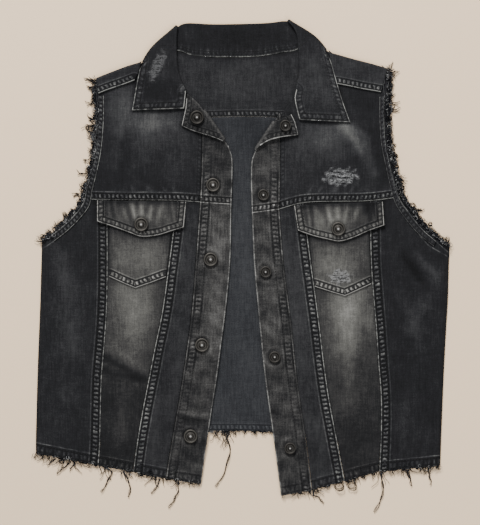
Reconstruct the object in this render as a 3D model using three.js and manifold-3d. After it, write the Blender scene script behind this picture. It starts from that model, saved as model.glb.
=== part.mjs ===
// A cropped sleeveless denim jacket, laid out flat on its back and unbuttoned: fronts turned up, seen from above.
// Millimetres, +Z up, the floor at z = 0, the collar towards +Y. _l and _r are the sides as seen from above.
import * as THREE from "three";
import Module from "manifold-3d";

const CLOTH = 1.4; // one layer of denim
const GAP = 0.3; // between two layers, and at a seam
const SPARE = 0.1; // a little more where a layer follows another over a slope
const LEVEL = CLOTH + GAP; // from one layer up to the next
const FELL = 0.8; // how far a felled seam stands above its panel
const PLACKET = 2.4; // folded and faced front edge
const LAPEL = 2; // the turned-out top corner of a front
const POCKET = 0.9;
const FLAP = 1.5;
const CAP = { radius: 8, height: 3.2, rim: 1.6, dome: 3.4 }; // metal cap with a ring and a small dome
const STUD = { radius: 6.6, height: 2.6, rim: 1.3, dome: 2.6 }; // the half that a cap closes on
const SIDE_ROLL = 4.4; // width over which a front turns down to the floor at the side
const LEAF_RISE = LEVEL; // the collar's leaf lies under the back yoke, and lifts it by this much
const RAMP = 28; // length over which a layer sinks back to what is below it
const HEM_RAMP = 34;

const clamp = (t) => Math.min(1, Math.max(0, t));
const ease = (t) => clamp(t) ** 2 * (3 - 2 * clamp(t));
const mix = (a, b, t) => a + (b - a) * t;
const mixPoint = (p, q, t) => p.map((value, k) => mix(value, q[k], t));

// A table with named columns: each row becomes an object.
function table(names, rows) {
  const keys = names.split(" ");
  return rows.map((row) => Object.fromEntries(keys.map((key, k) => [key, row[k]])));
}

const pick = (rows, x, y) => rows.map((row) => [row[x], row[y]]);

// Seams and edges of the lower fronts, one row for each height.
const LOWER_L = table("y side outer inner placket edge", [
  [-4.6, -230.6, -154.1, -83.9, -53.1, -13.6],
  [-62.1, -232.3, -155.2, -92, -57.8, -19],
  [-101.2, -233.9, -157.9, -100, -62.9, -24.1],
  [-139.1, -235.2, -161, -107.4, -68.4, -29.1],
  [-178.2, -236.2, -162.1, -115, -74.9, -35.2],
  [-216.2, -237, -163.1, -121.3, -81.6, -40.9],
]);
const LOWER_R = table("y side outer inner placket edge", [
  [-4.6, 237.8, 147.9, 79.3, 47.7, 13.8],
  [-43.1, 236.8, 150.6, 84.6, 52.6, 17],
  [-81.6, 234.6, 153.8, 89.7, 57.4, 20.7],
  [-120.2, 232.5, 156.4, 94.3, 61.3, 24.4],
  [-158.7, 230.8, 159.3, 99.8, 66.1, 29.2],
  [-197.2, 229.3, 159.4, 106.9, 71.9, 34.8],
]);

// Where those seams begin at the yoke and end at the hem.
const ENDS_L = table("topX topY hemX hemY", [
  [-230, 20.1, -236.7, -224.2],
  [-154.8, 66.4, -164.7, -238.6],
  [-74.8, 65.5, -125.3, -246.1],
  [-48.1, 63.8, -87.6, -253.6],
  [-12.2, 61.4, -47.1, -259.9],
]);
const ENDS_R = table("topX topY hemX hemY", [
  [238.7, 12.6, 227.8, -238.6],
  [146.7, 65.3, 157.5, -245.5],
  [70.6, 63, 118.1, -256],
  [43, 55.8, 80.5, -266.6],
  [11.4, 51.7, 44.8, -273.4],
]);

// Edge of the cloth round each armhole, from the shoulder to the yoke seam and on to the underarm.
const ARMHOLE_L = table("x y", [
  [-168.7, 202.9],
  [-168.1, 188],
  [-167.9, 167.9],
  [-169.6, 133.4],
  [-174.2, 101.2],
  [-178.8, 83.9],
  [-184.6, 67.4],
  [-190.3, 56.3],
  [-201.2, 44.3],
  [-213.9, 30.5],
  [-230, 20.1],
]);
const ARMHOLE_R = table("x y", [
  [168.6, 213.7],
  [168.5, 190.3],
  [167.7, 164.4],
  [169.4, 133.4],
  [174.8, 104.6],
  [180, 86.2],
  [184, 70.1],
  [194.3, 56.3],
  [210.4, 36.2],
  [224.2, 24.1],
  [238.7, 12.6],
]);

// Front seam of each front yoke, from the end of the neck seam down to the yoke seam.
const YOKE_FRONT_L = table("x y", [
  [-70.1, 187.4],
  [-63.7, 185.6],
  [-54, 177.6],
  [-45.1, 167.2],
  [-45.3, 147.2],
  [-46.5, 95.4],
  [-48.1, 63.8],
]);
const YOKE_FRONT_R = table("x y", [
  [63.2, 182.2],
  [58.4, 181.1],
  [51.7, 174.8],
  [44.4, 164.4],
  [43.7, 135.7],
  [43.7, 95.4],
  [43, 55.8],
]);

// The collar, one row for each section: neck seam, roll line and free edge, seen from above.
// turn is 180 where the leaf lies over the front, 0 where it lies under the back, and between at the two corners.
// puff is how far the leaf stands up between roll and edge; stand is 0 where the collar's end has none.
const COLLAR = table("seamX seamY rollX rollY edgeX edgeY turn puff stand", [
  [-68.3, 171.7, -66.5, 171.6, -126.3, 169.5, 180, 1, 0],
  [-69.5, 182.8, -65.2, 183.5, -124.3, 180.5, 180, 1.6, 0],
  [-73.1, 190.9, -64.9, 192.7, -122.6, 190.9, 180, 2, 1],
  [-80.5, 200.1, -70.6, 204.1, -120.5, 202.4, 180, 2.2, 1],
  [-86.7, 210.4, -74.2, 215.9, -118.6, 211.6, 180, 2, 1],
  [-91.5, 220.8, -75.6, 230, -117, 217.3, 180, 1.6, 1],
  [-94.8, 228.8, -75.8, 243.8, -115, 220.6, 180, 1, 1],
  [-97.1, 234.6, -75.6, 255.3, -113.5, 222.2, 180, 0.4, 1],
  [-98.2, 239, -74.5, 264.7, -112.7, 223.1, 180, 0, 1],
  [-98.2, 239, -74.5, 264.7, -112.7, 223.1, 135, 0, 1],
  [-98.2, 239, -74.5, 264.7, -112.7, 223.1, 90, 0, 1],
  [-98.2, 239, -74.5, 264.7, -112.7, 223.1, 45, 0, 1],
  [-98.2, 239, -74.5, 264.7, -112.7, 223.1, 0, 0, 1],
  [-86.2, 237.6, -69.6, 267.3, -101.2, 219.2, 0, 0, 1],
  [-71.3, 237.6, -62.1, 268.4, -82.8, 218, 0, 0, 1],
  [-58.6, 233.2, -52.9, 268.1, -63.2, 218.5, 0, 0, 1],
  [-35.6, 230.9, -35.6, 267.1, -39.1, 219.6, 0, 0, 1],
  [-18.4, 230.7, -18.4, 267.1, -18.4, 220.3, 0, 0, 1],
  [0, 230.7, 0, 267.5, 0, 220.8, 0, 0, 1],
  [23, 232, 23, 268.2, 27.6, 221.9, 0, 0, 1],
  [46, 236, 36.8, 269.3, 52.9, 224.2, 0, 0, 1],
  [63.2, 239.2, 46, 270.7, 75.9, 228.2, 0, 0, 1],
  [78.7, 250.5, 53.1, 271.2, 95.7, 236.7, 0, 0, 1],
  [78.7, 250.5, 53.1, 271.2, 95.7, 236.7, 45, 0, 1],
  [78.7, 250.5, 53.1, 271.2, 95.7, 236.7, 90, 0, 1],
  [78.7, 250.5, 53.1, 271.2, 95.7, 236.7, 135, 0, 1],
  [78.7, 250.5, 53.1, 271.2, 95.7, 236.7, 180, 0, 1],
  [80.7, 244.9, 59.6, 263.8, 97.7, 234.1, 180, 0.4, 1],
  [81.6, 238.7, 63.9, 254.1, 99.8, 230.5, 180, 1, 1],
  [81.4, 227.7, 65.5, 239.2, 102.9, 223.1, 180, 1.6, 1],
  [79.1, 216.2, 66.4, 223.1, 106.9, 209.3, 180, 2, 1],
  [74.8, 202.4, 66, 208.1, 111.5, 193.2, 180, 2.2, 1],
  [67.6, 187.4, 62.1, 192.7, 116.6, 177.1, 180, 2, 1],
  [65.1, 179.4, 60.8, 180.5, 120.3, 166.8, 180, 1.6, 0],
  [67.8, 158.7, 66, 158.5, 124.4, 155.7, 180, 1, 0],
]);

// The back yoke, one row for each place along its top: shoulder edge or neck seam, and its lower seam.
// lap is where the yoke ends after it has turned over the shoulder on to the front; 0 at the neck, where it has no turn.
const BACK_YOKE = table("topX topY seamX seamY lapX lapY wraps", [
  [-168.4, 204.2, -166.2, 165.6, -164.9, 188.8, 1],
  [-156.4, 208.6, -154.1, 165.6, -155.2, 192.7, 1],
  [-143.8, 213.4, -141.4, 165.6, -143.8, 196.6, 1],
  [-131.1, 218, -128.8, 165.6, -132.2, 200.6, 1],
  [-118.9, 222.1, -118.4, 165.6, -123.5, 204, 1],
  [-112.7, 223.1, -105.8, 165.6, -112.7, 223.1, 0],
  [-98.2, 238.5, -93.1, 165.6, -98.2, 239.2, 0],
  [-86.2, 236.9, -80.5, 165.6, -86.2, 239.2, 0],
  [-71.3, 236.9, -66.7, 165.6, -71.3, 239.2, 0],
  [-58.6, 232.8, -51.7, 165.6, -58.6, 239.2, 0],
  [-35.6, 230.2, -33.3, 166.3, -35.6, 239.2, 0],
  [-18.4, 230, -16.1, 166.8, -18.4, 239.2, 0],
  [0, 230, 1.1, 167, 0, 239.2, 0],
  [23, 231.3, 21.8, 166.8, 23, 239.2, 0],
  [46, 235.3, 42.5, 166.3, 46, 239.2, 0],
  [63.2, 238.5, 59.8, 165.6, 63.2, 239.2, 0],
  [78.7, 249.9, 75.9, 165.6, 78.2, 239.2, 0],
  [95.7, 236.4, 94.3, 165.6, 95.4, 239.2, 0],
  [104.2, 232.8, 108.1, 165.6, 109.9, 199.9, 1],
  [119.6, 228.4, 123, 165.6, 124.2, 197.1, 1],
  [135.7, 224, 138, 165.6, 139.1, 193.9, 1],
  [151.8, 219.5, 152.9, 165.6, 150.6, 192, 1],
  [167.9, 215, 165.6, 165.6, 159.4, 190.4, 1],
]);

// Top corner of each front, turned out along a fold: fold line and free edge.
// shows is 0 where only the placket's own end reaches the fold.
const LAPEL_L = table("foldX foldY edgeX edgeY shows", [
  [-62.6, 188.8, -63.9, 182.4, 1],
  [-58.6, 185.1, -64.9, 171.3, 1],
  [-54, 181.1, -67.2, 161.5, 1],
  [-49.4, 176.5, -69.3, 151.8, 1],
  [-44.4, 169.5, -59.2, 147, 1],
  [-38.5, 161.7, -49, 143.5, 1],
  [-32.4, 152.9, -38.6, 140.3, 1],
  [-26.2, 143.8, -29.9, 137.3, 1],
  [-20.5, 135.5, -22.3, 134.1, 1],
  [-15.2, 128.1, -17.2, 127.6, 0],
]);
const LAPEL_R = table("foldX foldY edgeX edgeY shows", [
  [43.2, 166.5, 55.2, 165.6, 0],
  [36.8, 156.1, 56.8, 164.7, 1],
  [32.9, 150, 60.7, 157.1, 1],
  [29.2, 144.4, 63.2, 148.3, 1],
  [25.8, 139.1, 64.6, 141, 1],
  [22.3, 134.1, 48.8, 139.4, 1],
  [18.9, 129, 33.3, 136.4, 1],
  [15.6, 124, 21.4, 129.9, 1],
]);

// Felled seam round each armhole: its outer and inner line.
const BAND_L = table("outerX outerY innerX innerY", [
  [-164.7, 185.1, -158.9, 186.3],
  [-164.7, 162.1, -158.9, 158.7],
  [-167.2, 124.2, -161.7, 124.2],
  [-173, 97.2, -166.8, 97.7],
  [-178.7, 79.3, -171.8, 78.2],
  [-182.4, 63.7, -175.3, 60.5],
  [-190.9, 51.7, -185.8, 46],
  [-204, 38.4, -200.8, 31],
  [-217.8, 26.4, -215.5, 19.5],
]);
const BAND_R = table("outerX outerY innerX innerY", [
  [164, 186.3, 158, 185.1],
  [163.5, 162.1, 158, 158.7],
  [165.1, 131.1, 160.3, 128.8],
  [170.2, 105.8, 165.6, 103.5],
  [175.5, 85.1, 170.2, 82.8],
  [181.5, 67.2, 175.9, 63.2],
  [192.5, 51.7, 186.3, 46.7],
  [207.7, 32.7, 203.1, 27.1],
  [223.1, 19.1, 220.3, 13.3],
]);

// Pocket and flap on each middle panel: outline from the top left round to the top right.
const FLAP_L = table("x bottom topX", [
  [-166.3, 42, -166.3],
  [-155.2, 38.4, -154.8],
  [-143.8, 34.5, -143.8],
  [-129.9, 29.4, -129.9],
  [-115.9, 24.6, -115.9],
  [-95.7, 26.4, -95.7],
  [-81.6, 30.8, -80.5],
  [-66.8, 35.3, -64.2],
]);
const FLAP_R = table("x bottom topX", [
  [64.3, 31.5, 59.8],
  [73.6, 28.1, 70.1],
  [83.8, 24.8, 81.6],
  [97.7, 21.6, 96.6],
  [111.4, 19.1, 110.9],
  [126.7, 23, 126.5],
  [144.9, 31, 143.8],
  [163.3, 37.5, 161.5],
]);
const POCKET_L = table("x bottom", [
  [-152.5, -21.4],
  [-138, -28.1],
  [-122.6, -34.5],
  [-104.6, -28.3],
  [-87.4, -21.8],
]);
const POCKET_R = table("x bottom", [
  [83.5, -32.9],
  [101.2, -38.6],
  [118.1, -43.7],
  [133.4, -36.8],
  [148.3, -29.9],
]);
const POCKET_TOP = { left: 59.8, right: 56.8 };

// Hem of the back, seen between the fronts, and the seam under its yoke.
const BACK_HEM = table("x y", [
  [-231.1, -220.2],
  [-163.3, -210.4],
  [-82.8, -201.2],
  [-2.3, -198.9],
  [72.4, -202.9],
  [147.2, -216.2],
  [222.4, -234.6],
]);

// Metal buttons: place, and what each lies on.
const BUTTONS = table("name x y kind", [
  ["cap_lapel_l", -51.7, 161.2, "cap"],
  ["cap_1_l", -33.3, 83.9, "cap"],
  ["cap_2_l", -36.1, -1.7, "cap"],
  ["cap_3_l", -46, -100, "cap"],
  ["cap_4_l", -59.1, -204.7, "cap"],
  ["cap_flap_l", -115.7, 38.4, "cap"],
  ["stud_lapel_r", 49.9, 151.8, "stud"],
  ["stud_1_r", 24.6, 72.4, "stud"],
  ["stud_2_r", 27.1, -16.1, "stud"],
  ["stud_3_r", 37.5, -113.8, "stud"],
  ["stud_4_r", 55.2, -218.5, "stud"],
  ["cap_flap_r", 110.4, 33.3, "cap"],
]);

// Largest folds: a soft ridge from one point to another.
const FOLDS = table("x0 y0 x1 y1 width height", [
  [117.3, 151.8, 142.6, 133.4, 9, 2.2],
  [142.6, 133.4, 154.1, 98.9, 9, 1.6],
  [-149.5, -119.6, -110.4, -139.1, 6, 1.2],
  [-149.5, -131.1, -121.9, -146, 6, 1],
  [-135.7, -157.5, -138, -209.3, 9, 1],
  [225.4, -20.7, 195.5, -82.8, 11, 1.4],
  [118.4, -69, 126.5, -163.3, 12, 1.2],
  [-207, -4.6, -193.2, -105.8, 12, 1.2],
  [-105.8, 172.5, -110.4, 112.7, 12, 1.2],
]);

// Loose threads that hang from the hems, longer than the fray round them.
const THREADS = table("hem x0 y0 x1 y1 x2 y2 x3 y3", [
  ["l", -213.9, -230.5, -217.3, -233.4, -220.8, -235.7, -224.2, -238],
  ["l", -196.6, -233.9, -202.4, -239.2, -208.1, -243.8, -212.7, -248.4],
  ["l", -156.9, -241.7, -149.5, -246.1, -155.2, -257.6, -162.1, -269.1],
  ["l", -135.7, -245.9, -129.9, -257.6, -128.8, -265.6, -131.1, -274.8],
  ["l", -94.3, -254, -96.6, -259.9, -100, -265.6, -103.5, -271.4],
  ["l", -72.9, -257.6, -73.6, -267.9, -78.2, -278.3, -83.9, -287.5],
  ["b", -18.4, -200.4, -13.8, -219.6, -19.5, -243.8, -29.9, -263.3],
  ["r", 81.6, -267.9, 82.8, -272.5, 88.5, -276, 94.3, -281.8],
  ["r", 159.2, -247, 162.1, -264.5, 158.7, -280.6, 151.8, -292.1],
  ["r", 189.7, -244, 192, -248.4, 193.2, -255.3, 195.5, -262.2],
  ["r", 213.9, -241.7, 215, -247.2, 216.2, -254.1, 217.3, -261],
]);

const { Manifold, Mesh: SolidMesh } = await (async () => {
  const kernel = await Module();
  kernel.setup();
  return kernel;
})();

const vest = new THREE.Group();
vest.name = "denim_vest";

const looks = {
  denim: () => new THREE.MeshStandardMaterial({ color: 0x34343a, roughness: 0.92, metalness: 0 }),
  faded: () => new THREE.MeshStandardMaterial({ color: 0x5a5855, roughness: 0.92, metalness: 0 }),
  inside: () => new THREE.MeshStandardMaterial({ color: 0x3c3e43, roughness: 0.95, metalness: 0 }),
  worn: () => new THREE.MeshStandardMaterial({ color: 0x4b4a49, roughness: 0.92, metalness: 0 }),
  fray: () => new THREE.MeshStandardMaterial({ color: 0x55555a, roughness: 0.95, metalness: 0 }),
  metal: () => new THREE.MeshStandardMaterial({ color: 0x4a4744, roughness: 0.42, metalness: 0.9 }),
};

function add(name, look, geometry) {
  const mesh = new THREE.Mesh(geometry, looks[look]());
  mesh.name = name;
  vest.add(mesh);
  return mesh;
}

// A smooth line through points, as short steps.
function spline(points) {
  const ends = points.map(([x, y]) => new THREE.Vector3(x, y, 0));
  const curve = new THREE.CatmullRomCurve3(ends, false, "centripetal");
  return curve.getPoints(10 * (points.length - 1)).map((p) => [p.x, p.y]);
}

// Length of a line up to each of its points.
function reaches(line) {
  const reach = [0];
  for (let k = 1; k < line.length; k++) {
    reach.push(reach[k - 1] + Math.hypot(line[k][0] - line[k - 1][0], line[k][1] - line[k - 1][1]));
  }
  return reach;
}

const sharesOf = (line) => reaches(line).map((reach, k, all) => reach / all.at(-1));

// A line as a function of the share of its length, from 0 to 1.
function along(line) {
  const reach = reaches(line);
  return (share) => {
    const wanted = clamp(share) * reach.at(-1);
    const k = Math.max(1, reach.findIndex((r) => r >= wanted - 1e-9));
    return mixPoint(line[k - 1], line[k], clamp((wanted - reach[k - 1]) / (reach[k] - reach[k - 1] || 1)));
  };
}

// Height of a line y(x) at x.
function heightAt(points, x) {
  const rows = [...points].sort((p, q) => p[0] - q[0]);
  const k = rows.findIndex((row) => row[0] > x);
  if (k < 0) return rows.at(-1)[1];
  if (k === 0) return rows[0][1];
  return mix(rows[k - 1][1], rows[k][1], (x - rows[k - 1][0]) / (rows[k][0] - rows[k - 1][0]));
}

// A surface patch between four border lines: u runs from left to right, v from bottom to top.
function patch(bottom, top, left, right) {
  return (u, v) =>
    [0, 1].map((k) => {
      const sides = mix(bottom(u)[k], top(u)[k], v) + mix(left(v)[k], right(v)[k], u);
      const corners = mix(mix(bottom(0)[k], bottom(1)[k], u), mix(top(0)[k], top(1)[k], u), v);
      return sides - corners;
    });
}

const gridOf = (surface, us, vs) => vs.map((v) => us.map((u) => surface(u, v)));

// Moves the border points of a grid inwards, each border by its own distance.
function inset(grid, { left = 0, right = 0, bottom = 0, top = 0 }) {
  const rows = grid.length - 1;
  const columns = grid[0].length - 1;
  const moved = grid.map((row) => row.map((point) => [...point]));
  const shift = (i, j, from, to, inner, distance) => {
    const [tx, ty] = [grid[to[0]][to[1]][0] - grid[from[0]][from[1]][0], grid[to[0]][to[1]][1] - grid[from[0]][from[1]][1]];
    const length = Math.hypot(tx, ty);
    let [nx, ny] = [-ty / length, tx / length];
    const [ix, iy] = [grid[inner[0]][inner[1]][0] - grid[i][j][0], grid[inner[0]][inner[1]][1] - grid[i][j][1]];
    if (nx * ix + ny * iy < 0) [nx, ny] = [-nx, -ny];
    moved[i][j][0] += nx * distance;
    moved[i][j][1] += ny * distance;
  };
  for (let i = 0; i <= rows; i++) {
    const [from, to] = [Math.max(0, i - 1), Math.min(rows, i + 1)];
    if (left) shift(i, 0, [from, 0], [to, 0], [i, 1], left);
    if (right) shift(i, columns, [from, columns], [to, columns], [i, columns - 1], right);
  }
  for (let j = 0; j <= columns; j++) {
    const [from, to] = [Math.max(0, j - 1), Math.min(columns, j + 1)];
    if (bottom) shift(0, j, [0, from], [0, to], [1, j], bottom);
    if (top) shift(rows, j, [rows, from], [rows, to], [rows - 1, j], top);
  }
  return moved;
}

// A closed wall between two grids of points, with a rim wherever a present cell has no neighbour.
function wall(outer, inner, present = () => true) {
  const [rows, columns] = [outer.length, outer[0].length];
  const points = [...outer.flat(), ...inner.flat()];
  const half = rows * columns;
  const rims = new Map();
  const faces = [];
  for (let i = 0; i < rows - 1; i++) {
    for (let j = 0; j < columns - 1; j++) {
      if (!present(i, j)) continue;
      const loop = [i * columns + j, i * columns + j + 1, (i + 1) * columns + j + 1, (i + 1) * columns + j];
      faces.push([loop[0], loop[1], loop[2]], [loop[0], loop[2], loop[3]]);
      faces.push([loop[2], loop[1], loop[0]].map((k) => k + half), [loop[3], loop[2], loop[0]].map((k) => k + half));
      loop.forEach((from, k) => {
        const to = loop[(k + 1) % 4];
        if (!rims.delete(`${to} ${from}`)) rims.set(`${from} ${to}`, [from, to]);
      });
    }
  }
  for (const [from, to] of rims.values()) {
    faces.push([to, from, from + half], [to, from + half, to + half]);
  }
  return closed(points, faces);
}

// Geometry from points and triangles, turned to face outwards and with only the points in use.
function closed(points, faces) {
  let volume = 0;
  for (const [a, b, c] of faces) {
    const [p, q, r] = [points[a], points[b], points[c]];
    volume += p[0] * (q[1] * r[2] - q[2] * r[1]) + p[1] * (q[2] * r[0] - q[0] * r[2]) + p[2] * (q[0] * r[1] - q[1] * r[0]);
  }
  const used = new Map();
  const index = [];
  for (const face of faces) {
    for (const k of volume < 0 ? [...face].reverse() : face) {
      if (!used.has(k)) used.set(k, used.size);
      index.push(used.get(k));
    }
  }
  const positions = [...used.keys()].flatMap((k) => points[k]);
  const geometry = new THREE.BufferGeometry();
  geometry.setAttribute("position", new THREE.Float32BufferAttribute(positions, 3));
  geometry.setIndex(index);
  geometry.computeVertexNormals();
  return geometry;
}

// A flat-lying panel: under gives the height of its lower side, thick what is added at a point of the grid.
function sheet(grid, under, thick = () => CLOTH, present) {
  const lower = grid.map((row, i) => row.map(([x, y], j) => [x, y, under(x, y, i, j)]));
  const upper = lower.map((row, i) => row.map(([x, y, z], j) => [x, y, z + thick(i, j)]));
  return wall(upper, lower, present);
}

// Height of the back above the floor: it is raised where the collar's leaf lies under it.
const LEAF_EDGE = pick(COLLAR.filter((row) => row.turn === 0), "edgeX", "edgeY");
const [LEAF_LEFT, LEAF_RIGHT] = [LEAF_EDGE[0][0] - 3, LEAF_EDGE.at(-1)[0] + 3];
function backLift(x, y) {
  const past = y - (heightAt(LEAF_EDGE, x) - 2.5);
  const sides = Math.min(ease((x - (LEAF_LEFT - RAMP)) / RAMP), ease((LEAF_RIGHT + RAMP - x) / RAMP));
  return LEAF_RISE * ease((past + RAMP) / RAMP) * sides;
}

// Height of a soft fold at a point.
function foldAt(x, y) {
  let height = 0;
  for (const fold of FOLDS) {
    const [dx, dy] = [fold.x1 - fold.x0, fold.y1 - fold.y0];
    const share = clamp(((x - fold.x0) * dx + (y - fold.y0) * dy) / (dx * dx + dy * dy));
    const distance = Math.hypot(x - fold.x0 - share * dx, y - fold.y0 - share * dy);
    height = Math.max(height, fold.height * Math.exp(-((distance / fold.width) ** 2)));
  }
  return height;
}

// Height of the underside of the fronts: on the back, and down on the floor below the back's hem.
const HEM_LINE = pick(BACK_HEM, "x", "y");
function frontLift(x, y) {
  const lift = backLift(x, y);
  const share = lift / LEAF_RISE;
  const onBack = ease((y - (heightAt(HEM_LINE, x) - 3 - HEM_RAMP)) / HEM_RAMP);
  return LEVEL * onBack + lift + 1.4 * share * (1 - share) + foldAt(x, y) * (1 - share);
}

const frontTop = (x, y) => frontLift(x, y) + CLOTH;

// Back body: one panel under both fronts, from the yoke seam down to the raw hem.
const BACK_INSET = 1.2;
function backPanel() {
  const seam = along(pick(BACK_YOKE, "seamX", "seamY"));
  const armholeL = pick(ARMHOLE_L.slice(3), "x", "y");
  const armholeR = pick(ARMHOLE_R.slice(3), "x", "y");
  const sideL = [...LOWER_L.map((row) => [row.side, row.y]), [ENDS_L[0].hemX, BACK_HEM[0].y]];
  const sideR = [...LOWER_R.map((row) => [row.side, row.y]), [ENDS_R[0].hemX, BACK_HEM.at(-1).y]];
  const left = along([seam(0), ...spline([...armholeL]), ...sideL]);
  const right = along([seam(1), ...spline([...armholeR]), ...sideR]);
  const hem = spline([[sideL.at(-1)[0], HEM_LINE[0][1]], ...HEM_LINE.slice(1, -1), [sideR.at(-1)[0], HEM_LINE.at(-1)[1]]]);
  const surface = patch(along(hem), seam, (v) => left(1 - v), (v) => right(1 - v));
  const us = [0, 0.1, 0.22, 0.34, 0.45, 0.55, 0.66, 0.78, 0.9, 1];
  const vs = [0, 0.12, 0.24, 0.36, 0.48, 0.6, 0.67, 0.74, 0.8, 0.86, 0.93, 1];
  const grid = inset(gridOf(surface, us, vs), { left: SIDE_ROLL + 0.6, right: SIDE_ROLL + 0.6, bottom: 0.2, top: GAP / 2 });
  add("back_panel", "inside", sheet(grid, () => 0));
}

// Back yoke: from the back seam up to the neck seam, and over each shoulder on to the fronts.
function backYoke() {
  const vs = [0, 0.18, 0.34, 0.46, 0.58, 0.7, 0.82, 0.92, 1];
  const turns = [45, 90, 135, 180];
  const laps = [0.35, 0.7, 1];
  const outer = [];
  const inner = [];
  const inset0 = (k) => (k === 0 ? BACK_INSET : k === BACK_YOKE.length - 1 ? -BACK_INSET : 0);
  for (const v of vs) {
    const line = BACK_YOKE.map((row, k) => [
      mix(row.seamX, row.topX, v) + inset0(k),
      mix(row.seamY + GAP / 2, row.topY, v),
    ]);
    outer.push(line.map(([x, y]) => [x, y, backLift(x, y)]));
    inner.push(line.map(([x, y]) => [x, y, backLift(x, y) + CLOTH]));
  }
  const insideOf = (row) => {
    const room = frontTop(row.topX, row.topY) + GAP + SPARE - backLift(row.topX, row.topY) - CLOTH;
    return room / 2;
  };
  const away = (row) => {
    const length = Math.hypot(row.topX - row.lapX, row.topY - row.lapY) || 1;
    return [(row.topX - row.lapX) / length, (row.topY - row.lapY) / length];
  };
  for (const turn of turns) {
    const angle = THREE.MathUtils.degToRad(turn);
    const at = (row, k, thickness) => {
      const [nx, ny] = away(row);
      const radius = insideOf(row) + thickness;
      const middle = backLift(row.topX, row.topY) + CLOTH + insideOf(row);
      const side = radius * Math.sin(angle);
      return [row.topX + inset0(k) + nx * side, row.topY + ny * side, middle - radius * Math.cos(angle)];
    };
    outer.push(BACK_YOKE.map((row, k) => at(row, k, CLOTH)));
    inner.push(BACK_YOKE.map((row, k) => at(row, k, 0)));
  }
  for (const lap of laps) {
    const line = BACK_YOKE.map((row, k) => [mix(row.topX + inset0(k), row.lapX, lap), mix(row.topY, row.lapY, lap)]);
    inner.push(line.map(([x, y]) => [x, y, frontTop(x, y) + GAP + SPARE]));
    outer.push(line.map(([x, y]) => [x, y, frontTop(x, y) + GAP + SPARE + CLOTH]));
  }
  const present = (i, j) => i < vs.length - 1 || (BACK_YOKE[j].wraps && BACK_YOKE[j + 1].wraps);
  add("back_yoke", "denim", wall(outer, inner, present));
}

// Front yoke: shoulder, neck edge, front seam, yoke seam and armhole.
function frontYoke(side, armhole, neck, front, ends, shoulder) {
  const armholeEdge = along(spline(pick(armhole, "x", "y")));
  const neckLine = [...pick(neck, "seamX", "seamY"), ...pick(front, "x", "y")];
  const neckEdge = along(neckLine);
  const seam = along(spline([[armhole.at(-1).x, armhole.at(-1).y], ...ends]));
  const top = along(shoulder);
  const surface = patch(seam, top, (v) => armholeEdge(1 - v), (v) => neckEdge(1 - v));
  const bend = sharesOf(shoulder).at(-2);
  const us = [0, 0.1, 0.15, 0.3, 0.45, 0.6, bend, mix(bend, 1, 0.35), mix(bend, 1, 0.7), 1];
  const corners = sharesOf(neckLine).slice(0, -3).map((share) => 1 - share).reverse();
  const vs = [0, 0.055, 0.065, 0.17, 0.28, 0.4, ...corners.filter((v) => v > 0.44)];
  const grid = inset(gridOf(surface, us, vs), { left: 0, right: GAP + SPARE, bottom: GAP / 2, top: GAP });
  const thick = (i, j) => CLOTH + (i < 2 && j > 1 ? FELL : 0);
  add(`front_yoke_${side}`, "denim", sheet(grid, frontLift, thick));
}

const column = (rows, ends, k, name) => {
  const line = [[ends[k].topX, ends[k].topY], ...rows.map((row) => [row[name], row.y]), [ends[k].hemX, ends[k].hemY]];
  return spline(line);
};

const LOWER_ROWS = [0, 0.05, 0.1, 0.15, 0.21, 0.28, 0.36, 0.44, 0.52, 0.6, 0.68, 0.76, 0.84, 0.91, 0.96, 1];

// Lower front panels, between two of the seams; ridge says which columns carry the felled seam.
function lowerPanel(name, look, lines, us, ridge, insets, under = frontLift) {
  const [outerLine, innerLine, top, hem] = lines;
  const surface = patch(along(hem), along(top), (v) => along(outerLine)(1 - v), (v) => along(innerLine)(1 - v));
  const grid = inset(gridOf(surface, us, LOWER_ROWS), insets);
  add(name, look, sheet(grid, under, (i, j) => CLOTH + (ridge(j) ? FELL : 0)));
}

function lowerFront(side, rows, ends, armhole) {
  const seam = (k, name) => column(rows, ends, k, name);
  const [sideLine, outer, inner, placket] = ["side", "outer", "inner", "placket"].map((name, k) => seam(k, name));
  const hem = (k) => [[ends[k].hemX, ends[k].hemY], [ends[k + 1].hemX, ends[k + 1].hemY]];
  const yokeSeam = (k) => [[ends[k].topX, ends[k].topY], [ends[k + 1].topX, ends[k + 1].topY]];
  const lower = spline(pick(armhole.slice(6), "x", "y")).reverse();
  const sideTop = [...lower, ...spline([[armhole[6].x, armhole[6].y], yokeSeam(1)[0]])];
  const roll = (x, y, i, j) => frontLift(x, y) * [0, 0.55, 1][Math.min(2, j)];
  const seamGap = GAP / 2;
  lowerPanel(`side_panel_${side}`, "denim", [sideLine, outer, sideTop, hem(0)],
    [0, 0.028, 0.06, 0.2, 0.36, 0.52, 0.68, 0.835, 0.85, 1], (j) => j > 7,
    { right: seamGap, top: seamGap }, roll);
  lowerPanel(`middle_panel_${side}`, "faded", [outer, inner, yokeSeam(1), hem(1)],
    [0, 0.14, 0.28, 0.43, 0.57, 0.72, 0.86, 1], () => false,
    { left: seamGap, right: seamGap, top: seamGap });
  lowerPanel(`centre_panel_${side}`, "denim", [inner, placket, yokeSeam(2), hem(2)],
    [0, 0.36, 0.39, 0.6, 0.8, 1], (j) => j < 2,
    { left: seamGap, right: seamGap, top: seamGap });
}

// How far the lapel stands up between its fold and its edge.
const SOFT = 0.7;

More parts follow.
